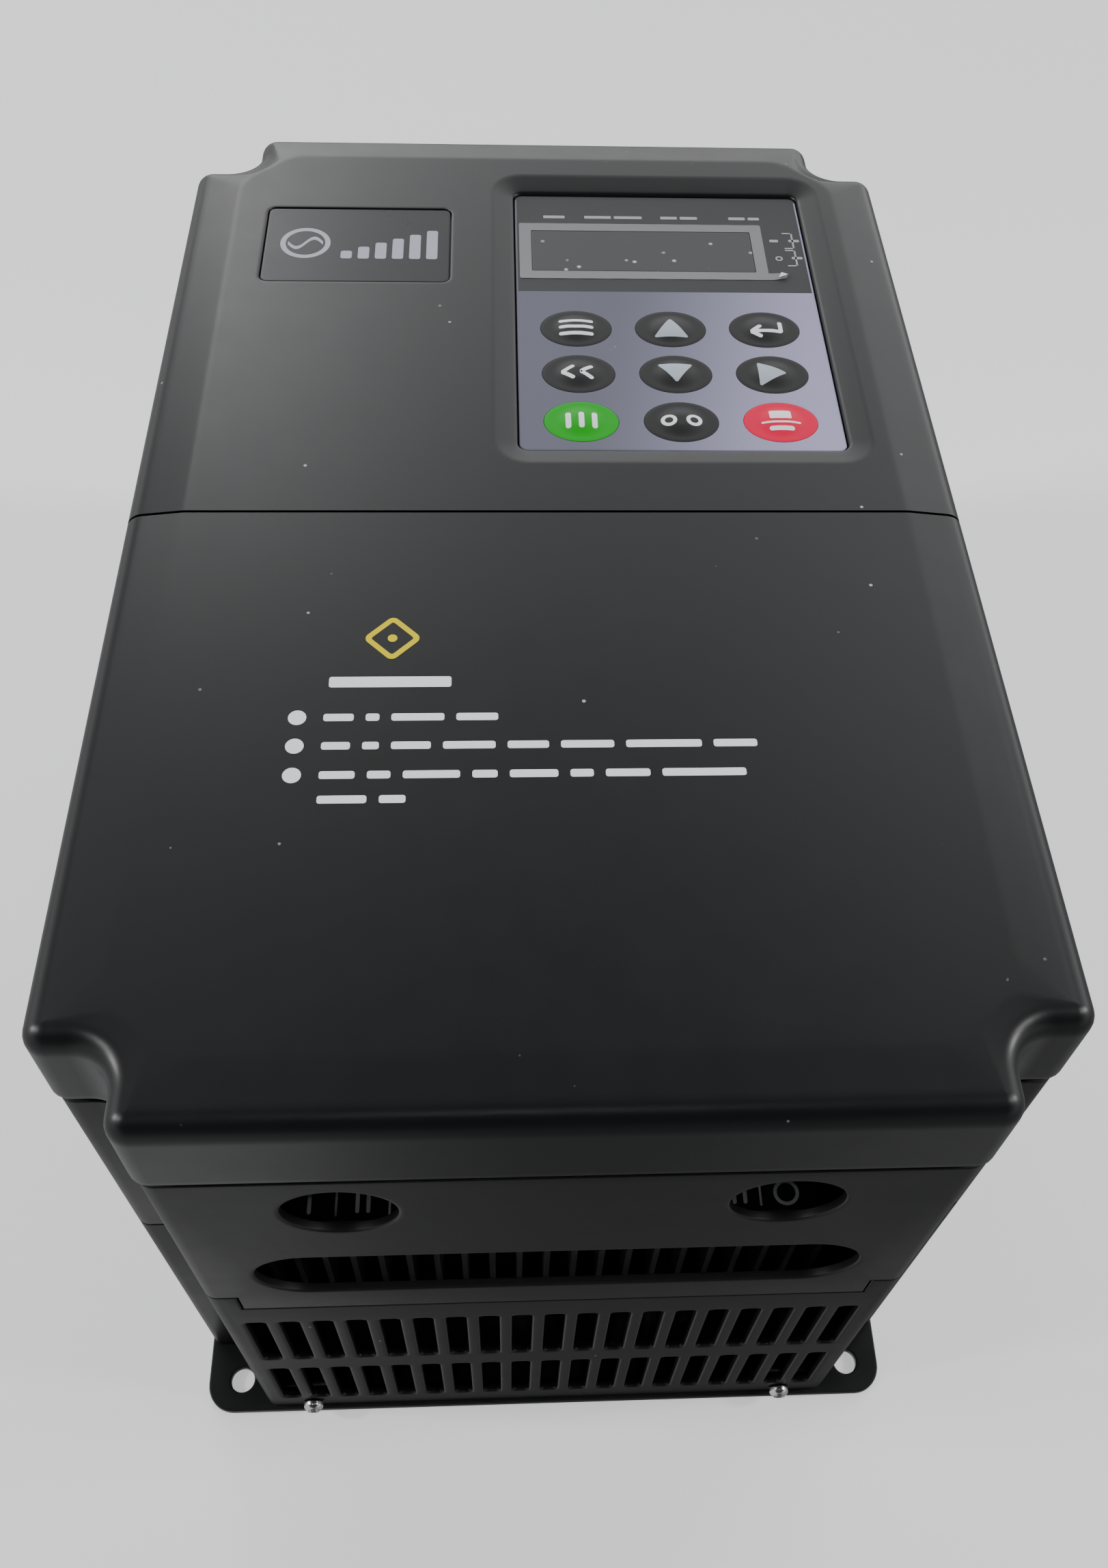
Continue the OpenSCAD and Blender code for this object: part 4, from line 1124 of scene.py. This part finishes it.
CORNERS = [(sx, sy) for sx in (-1, 1) for sy in (-1, 1)]


def mounting_plate():
    shape = Shape()
    holes = [lambda d, sx=sx, sy=sy: ellipse(sx * PLATE_HOLE_X, sy * PLATE_HOLE_Y, PLATE_HOLE_R + d,
                                             PLATE_HOLE_R + d, 32) for sx, sy in CORNERS]
    loop_at = inset_rect(0, 0, PLATE_HIGH.x - PLATE_LOW.x, HALF_H * 2 - PLATE_SHORTER, 8, sharper=1, steps=10)
    flat_plate(shape, loop_at, 0.0, PLATE_T, 0.35, holes)
    # Its four tabs stand up inside the housing's end walls.
    for sx, sy in CORNERS:
        x, y = sx * PLATE_SCREW_X, sy * (HALF_H - WALL - TAB_GAP - PLATE_T / 2)
        shape.box((x - 9, y - PLATE_T / 2, PLATE_T - 0.5), (x + 9, y + PLATE_T / 2, TAB_TOP_Z), 0.5)
    shape.weld()
    build("mounting_plate_sheet", shape, "drive", "plate_steel", [PLATE_PAINT], ["mounting_plate"])


def turned_head(shape, seat, axis_up, r, t):
    """A domed screw head with a cross recess; seat is the middle of its seat."""
    steps = 32
    start, up = Vector(seat), Vector(axis_up).normalized()
    side = up.orthogonal().normalized()
    other = up.cross(side)

    def at(x, y, height):
        return start + side * x + other * y + up * height

    profile = [(1.0, 0.0), (1.0, 0.28), (0.97, 0.45), (0.88, 0.66), (0.70, 0.84), (0.50, 0.94), (0.30, 0.99)]
    rings = [shape.chain([at(x, y, share * t) for x, y in ellipse(0, 0, r * wide, r * wide, steps)])
             for wide, share in profile]
    shape.loft(rings)
    # The recess: its mouth is a cross, and its walls lean in to a small floor.
    a, b = r * 0.13, r * 0.52
    cross = [(b, -a), (b, a), (a, a), (a, b), (-a, b), (-a, a),
             (-b, a), (-b, -a), (-a, -a), (-a, -b), (a, -b), (a, -a)]
    disc = ellipse(0, 0, r * 0.57, r * 0.57, steps)
    shape.fill(disc, [cross], lambda x, y: at(x, y, t * 0.995))
    floor_ring = shape.chain([at(x * 0.6, y * 0.6, t * 0.35) for x, y in cross])
    shape.bridge(shape.chain([at(x, y, t * 0.995) for x, y in cross]), floor_ring)
    shape.cap(floor_ring)
    shape.cap(rings[0], up=False)


def plate_screws():
    shape = Shape()
    top_y = mm_box("plate_screws")[1].y
    for sx, sy in CORNERS:
        seat = (sx * PLATE_SCREW_X, sy * (top_y - PLATE_SCREW_HEAD_T), PLATE_SCREW_Z)
        turned_head(shape, seat, (0, sy, 0), PLATE_SCREW_HEAD_R, PLATE_SCREW_HEAD_T)
    build("plate_screw_heads", shape, "drive", "screw_steel", [SCREW], ["plate_screws"], sharp=35)


keypad_front()
keypad_body()
key_caps()
key_signs()
display_window()
window_film()
keypad_print()
nameplate()
cover_print()
mounting_plate()
plate_screws()


# ---- Inside ----

# Small parts on the boards: the share of draws up to which each is picked, its width, depth and height, and
# its material. The last is an upright can.
SMALL_PARTS = ((0.5, 3.2, 1.6, 0.7, 0), (0.85, 1.6, 3.0, 1.1, 1), (0.95, 6.0, 5.0, 1.7, 0),
               (1.0, 6.4, 6.4, 7.0, 2))
CAN = 2
BOARD_EDGE_X = 76


def can(shape, x, y, z, r, h):
    """An upright can capacitor with a rounded shoulder and a plain metal top."""
    profile = [(r, 0.0), (r, h * 0.12), (r * 0.93, h * 0.17), (r, h * 0.22), (r, h - 0.5), (r - 0.5, h)]
    rings = [shape.ring(ellipse(x, y, ring_r, ring_r, 24), z + up) for ring_r, up in profile]
    shape.loft(rings)
    shape.cap(rings[-1], slot=CAN)


def board_parts():
    """Small parts on the two boards, laid out in rows between the large ones."""
    pick = random.Random(7)
    # The three large chips one by one, then the box of every other large part.
    blocked = [(-41, -19, 29, 51, 178, 180), (-68, -52, 74, 86, 178, 180), (4, 16, 16, 24, 178, 180)]
    for node in ("control_terminals", "keypad_socket", "ribbon_cable", "current_sensors", "start_relay",
                 "supply_transformer", "charge_resistor", "dc_capacitors", "busbars", "terminal_block"):
        low, high = mm_box(node)
        blocked.append((low.x - 1.5, high.x + 1.5, low.y - 1.5, high.y + 1.5, low.z, high.z))
    # The rows start at y, and none starts past last_y.
    for board, y, last_y in (("control_board", -25, 101), ("power_board", -105, 115)):
        top = mm_box(board)[1].z
        shape = Shape()
        while y < last_y:
            x = pick.uniform(2, 5) - BOARD_EDGE_X
            row = pick.choice((6.0, 7.5, 9.0))
            while x < BOARD_EDGE_X - 3:
                kind = pick.random()
                w, d, h, slot = next(part[1:] for part in SMALL_PARTS if kind < part[0])
                cx, cy = x + w / 2, y + pick.uniform(-0.6, 0.6)
                clear = not any(x0 - w / 2 < cx < x1 + w / 2 and y0 - d / 2 < cy < y1 + d / 2
                                and foot < top + 8 and head > top for x0, x1, y0, y1, foot, head in blocked)
                if clear and slot == CAN:
                    can(shape, cx, cy, top - 0.05, 3.1, h)
                elif clear:
                    shape.box((cx - w / 2, cy - d / 2, top - 0.05), (cx + w / 2, cy + d / 2, top + h),
                              0.12, slot)
                x += w + pick.uniform(1.6, 6.0)
            y += row
        build(board + "_parts", shape, "drive", "circuit_board", [MODULE, CHIP_TAN, CAN_TOP], sharp=35)


def terminal_marks():
    """Plain marks over each terminal: one to three ticks in turn, and a ring by the earth pair."""
    low, high = mm_box("terminal_label_strip")
    screw_low, screw_high = mm_box("terminal_screws")
    first, last = screw_low.x + 4.3, screw_high.x - 4.3
    pitch = (last - first) / 9
    shape = Shape()
    for i in range(10):
        if i == 9:
            signs = [ring_sign(0, 0, 2.9, 0.8)]
        else:
            ticks = i % 3 + 1
            signs = [bar((k - (ticks - 1) / 2) * 2.4, 0, 0.9, 4.6) for k in range(ticks)]
            signs.append(bar(pitch / 2, 0.6, 0.5, 7.0))
        decal(shape, signs, first + pitch * i, low.y + 3.8, level(high.z))
    build("terminal_label_marks", shape, "drive", "connector_plastic", [INK_WHITE], sharp=50)


board_parts()
terminal_marks()


# ---- CAD nodes that keep their shape ----

KEEP = (
    (DARK_MOULD, ("display_module", "keypad_plug", "terminal_label_strip", "keypad_socket", "fan_frame_left",
                  "fan_frame_right", "fan_rotor_left", "fan_rotor_right")),
    (BOARD, ("keypad_board", "power_board", "control_board")),
    (TRAY, ("key_switches", "board_tray")),
    (LED_RED, ("indicator_lights",)),
    (ALUMINIUM, ("heat_sink",)),
    (MODULE, ("inverter_module", "rectifier_module", "current_sensors", "control_chips")),
    (SLEEVE, ("dc_capacitors",)),
    (COPPER, ("busbars",)),
    (RELAY_BLUE, ("start_relay",)),
    (FERRITE, ("supply_transformer",)),
    (CERAMIC, ("charge_resistor",)),
    (BRASS, ("board_standoffs",)),
    (TERMINAL_BLACK, ("terminal_block",)),
    (TERMINAL_GREEN, ("control_terminals",)),
    (RIBBON, ("ribbon_cable",)),
    (SCREW, ("terminal_screws", "earth_screws", "fan_screws", "housing_screws", "tray_screws")),
)


def soften(piece):
    """Rounds the sharp edges of a CAD node, with no change to its own vertices."""
    weld = piece.modifiers.new("weld", "WELD")
    weld.merge_threshold = 0.01 * MM
    edges = piece.modifiers.new("edges", "BEVEL")
    edges.width = 0.3 * MM
    edges.segments = 2
    edges.limit_method = "ANGLE"
    edges.angle_limit = math.radians(35)
    edges.use_clamp_overlap = True
    for polygon in piece.data.polygons:
        polygon.use_smooth = True
    piece.modifiers.new("normals", "WEIGHTED_NORMAL")


for material, nodes in KEEP:
    for node in nodes:
        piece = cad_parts[node]
        piece.data.materials.clear()
        piece.data.materials.append(material)
        soften(piece)


# ---- Camera, floor and light ----

def set_camera():
    """The photograph's view: from the cable end, well above the face."""
    data = bpy.data.cameras.new("camera")
    camera = into_scene("camera", data)
    ahead = Vector((0.05242, 0.60085, -0.79764)).normalized()
    right = Vector((0.99860, -0.03760, 0.03731))
    right = (right - ahead * right.dot(ahead)).normalized()
    place = Vector((-0.012689, -0.264965, 0.478698))
    turn = Matrix((right, right.cross(ahead), -ahead)).transposed()
    camera.matrix_world = Matrix.Translation(place) @ turn.to_4x4()
    data.sensor_width = 36.0
    data.lens = 33.63
    data.shift_x = -0.0150
    data.shift_y = -0.0373
    data.clip_start = 0.01
    bpy.context.scene.camera = camera


def set_floor():
    material, graph = new_material("floor_paper")
    shader = graph.nodes["Principled BSDF"]
    for name, value in (("Base Color", (0.90, 0.90, 0.90)), ("Roughness", 0.9),
                        ("Emission Color", (1, 1, 1)), ("Emission Strength", 0.55)):
        graph.put(value, shader.inputs[name])
    grid = bmesh.new()
    bmesh.ops.create_grid(grid, x_segments=1, y_segments=1, size=40.0)
    floor = mesh_object("floor", grid, [material])
    floor.location.z = -0.0004
    floor.visible_glossy = False


def set_world():
    """The studio: a bright low wall beyond the fan end, dimmer ones all round, and a dark ceiling.

    Below the horizon it is a dim table, which only shows in gloss.
    """
    world = bpy.data.worlds.new("studio")
    bpy.context.scene.world = world
    world.use_nodes = True
    graph = Graph(world.node_tree, "Generated")
    x, y, z = graph.add("SeparateXYZ", {0: graph.coords}).outputs

    def plus(a, b):
        return graph.math("ADD", a, b)

    def times(a, b):
        return graph.math("MULTIPLY", a, b)

    def glow(across, drop, stops, low, high):
        """A ramp over how far a direction leans to one side, less drop times its height."""
        lean = graph.math("SUBTRACT", across, times(z, drop))
        share = graph.add("MapRange", {"From Min": low, "From Max": high, "Value": lean})
        return graph.ramp(share.outputs["Result"], stops)

    def patch(direction, strength):
        """A soft round patch of light in one direction."""
        facing = graph.dot(Vector(direction).normalized())
        return glow(facing, 0.0, [(0.0, 0.0), (0.5, 0.35 * strength), (1.0, strength)], 0.95, 0.995)

    far_wall = glow(times(y, 0.85), 0.53,
                    [(0.0, 0.02), (0.28, 0.042), (0.39, 0.13), (0.52, 0.42), (0.60, 0.92), (0.66, 1.36),
                     (0.74, 1.55), (0.83, 1.42), (0.90, 1.5), (1.0, 1.9)], -0.4, 0.6)
    left = glow(times(x, -1.0), 0.0,
                [(0.0, 1.0), (0.2, 1.5), (0.35, 1.5), (0.55, 0.75), (0.8, 0.5), (1.0, 0.4)], 0.04, 0.56)
    windows = plus(patch((-0.37, 0.48, 0.79), 0.8), patch((0.43, 0.57, 0.70), 1.8))
    side_walls = glow(graph.math("ABSOLUTE", x, 0.0), 1.0, [(0.0, 0.0), (1.0, 0.8)], 0.1, 0.6)
    room = plus(plus(times(far_wall, left), side_walls), windows)
    table = graph.ramp(plus(x, 0.5), [(0.0, 0.60), (0.31, 0.57), (0.385, 0.20), (0.44, 0.165), (0.54, 0.13),
                                      (0.64, 0.15), (0.77, 0.25), (1.0, 0.30)])
    above = graph.math("GREATER_THAN", z, 0.0)
    total = plus(times(room, above), times(table, graph.math("SUBTRACT", 1.0, above)))
    # Seen directly, the room is one plain grey, a little darker than the floor.
    path = graph.add("LightPath", {})
    seen = graph.add("Mix", {"Factor": path.outputs["Is Camera Ray"], "A": total, "B": 0.60})
    background = graph.nodes["Background"]
    graph.put(seen.outputs["Result"], background.inputs["Strength"])
    graph.put((0.985, 0.99, 1.0), background.inputs["Color"])


def add_light(name, kind, place, aim, power, **settings):
    data = bpy.data.lights.new(name, kind)
    data.energy = power
    for key, value in settings.items():
        setattr(data, key, value)
    light = into_scene(name, data)
    light.location = place
    light.rotation_euler = (Vector(aim) - Vector(place)).to_track_quat("-Z", "Y").to_euler()


def area_light(name, place, aim, size, power):
    add_light(name, "AREA", place, aim, power, shape="RECTANGLE", size=size[0], size_y=size[1])


def spot_light(name, place, aim, power, angle):
    add_light(name, "SPOT", place, aim, power, spot_size=math.radians(angle), spot_blend=0.6,
              shadow_soft_size=0.16)


FACE_AIM = (0, 0, 0.21)
LAMP_AIM = (0, -0.05, 0.15)
LAMP_SIZE = (0.12, 0.12)

set_camera()
set_floor()
set_world()
area_light("window", (-0.58, 1.75, 1.25), (0, 0.05, 0.2), (0.45, 0.8), 5)
area_light("left_lamp", (-1.25, -0.10, 0.85), LAMP_AIM, LAMP_SIZE, 6.5)
area_light("right_lamp", (1.25, -0.10, 0.85), LAMP_AIM, LAMP_SIZE, 5.5)
spot_light("left_spot", (-1.45, -0.35, 1.65), FACE_AIM, 52, 13)
spot_light("right_spot", (1.45, -0.35, 1.65), FACE_AIM, 52, 13)
# Two narrow beams reach through the round cable entries to the terminals behind them.
for side, name, power in ((-1, "left_entry_spot", 30), (1, "right_entry_spot", 75)):
    entry = Vector((side * CABLE_HOLE_X, LOWER_LOW.y, CABLE_HOLE_Z)) * MM
    spot_light(name, entry + Vector((0, -0.52, 1.5)), entry, power, 2.4)
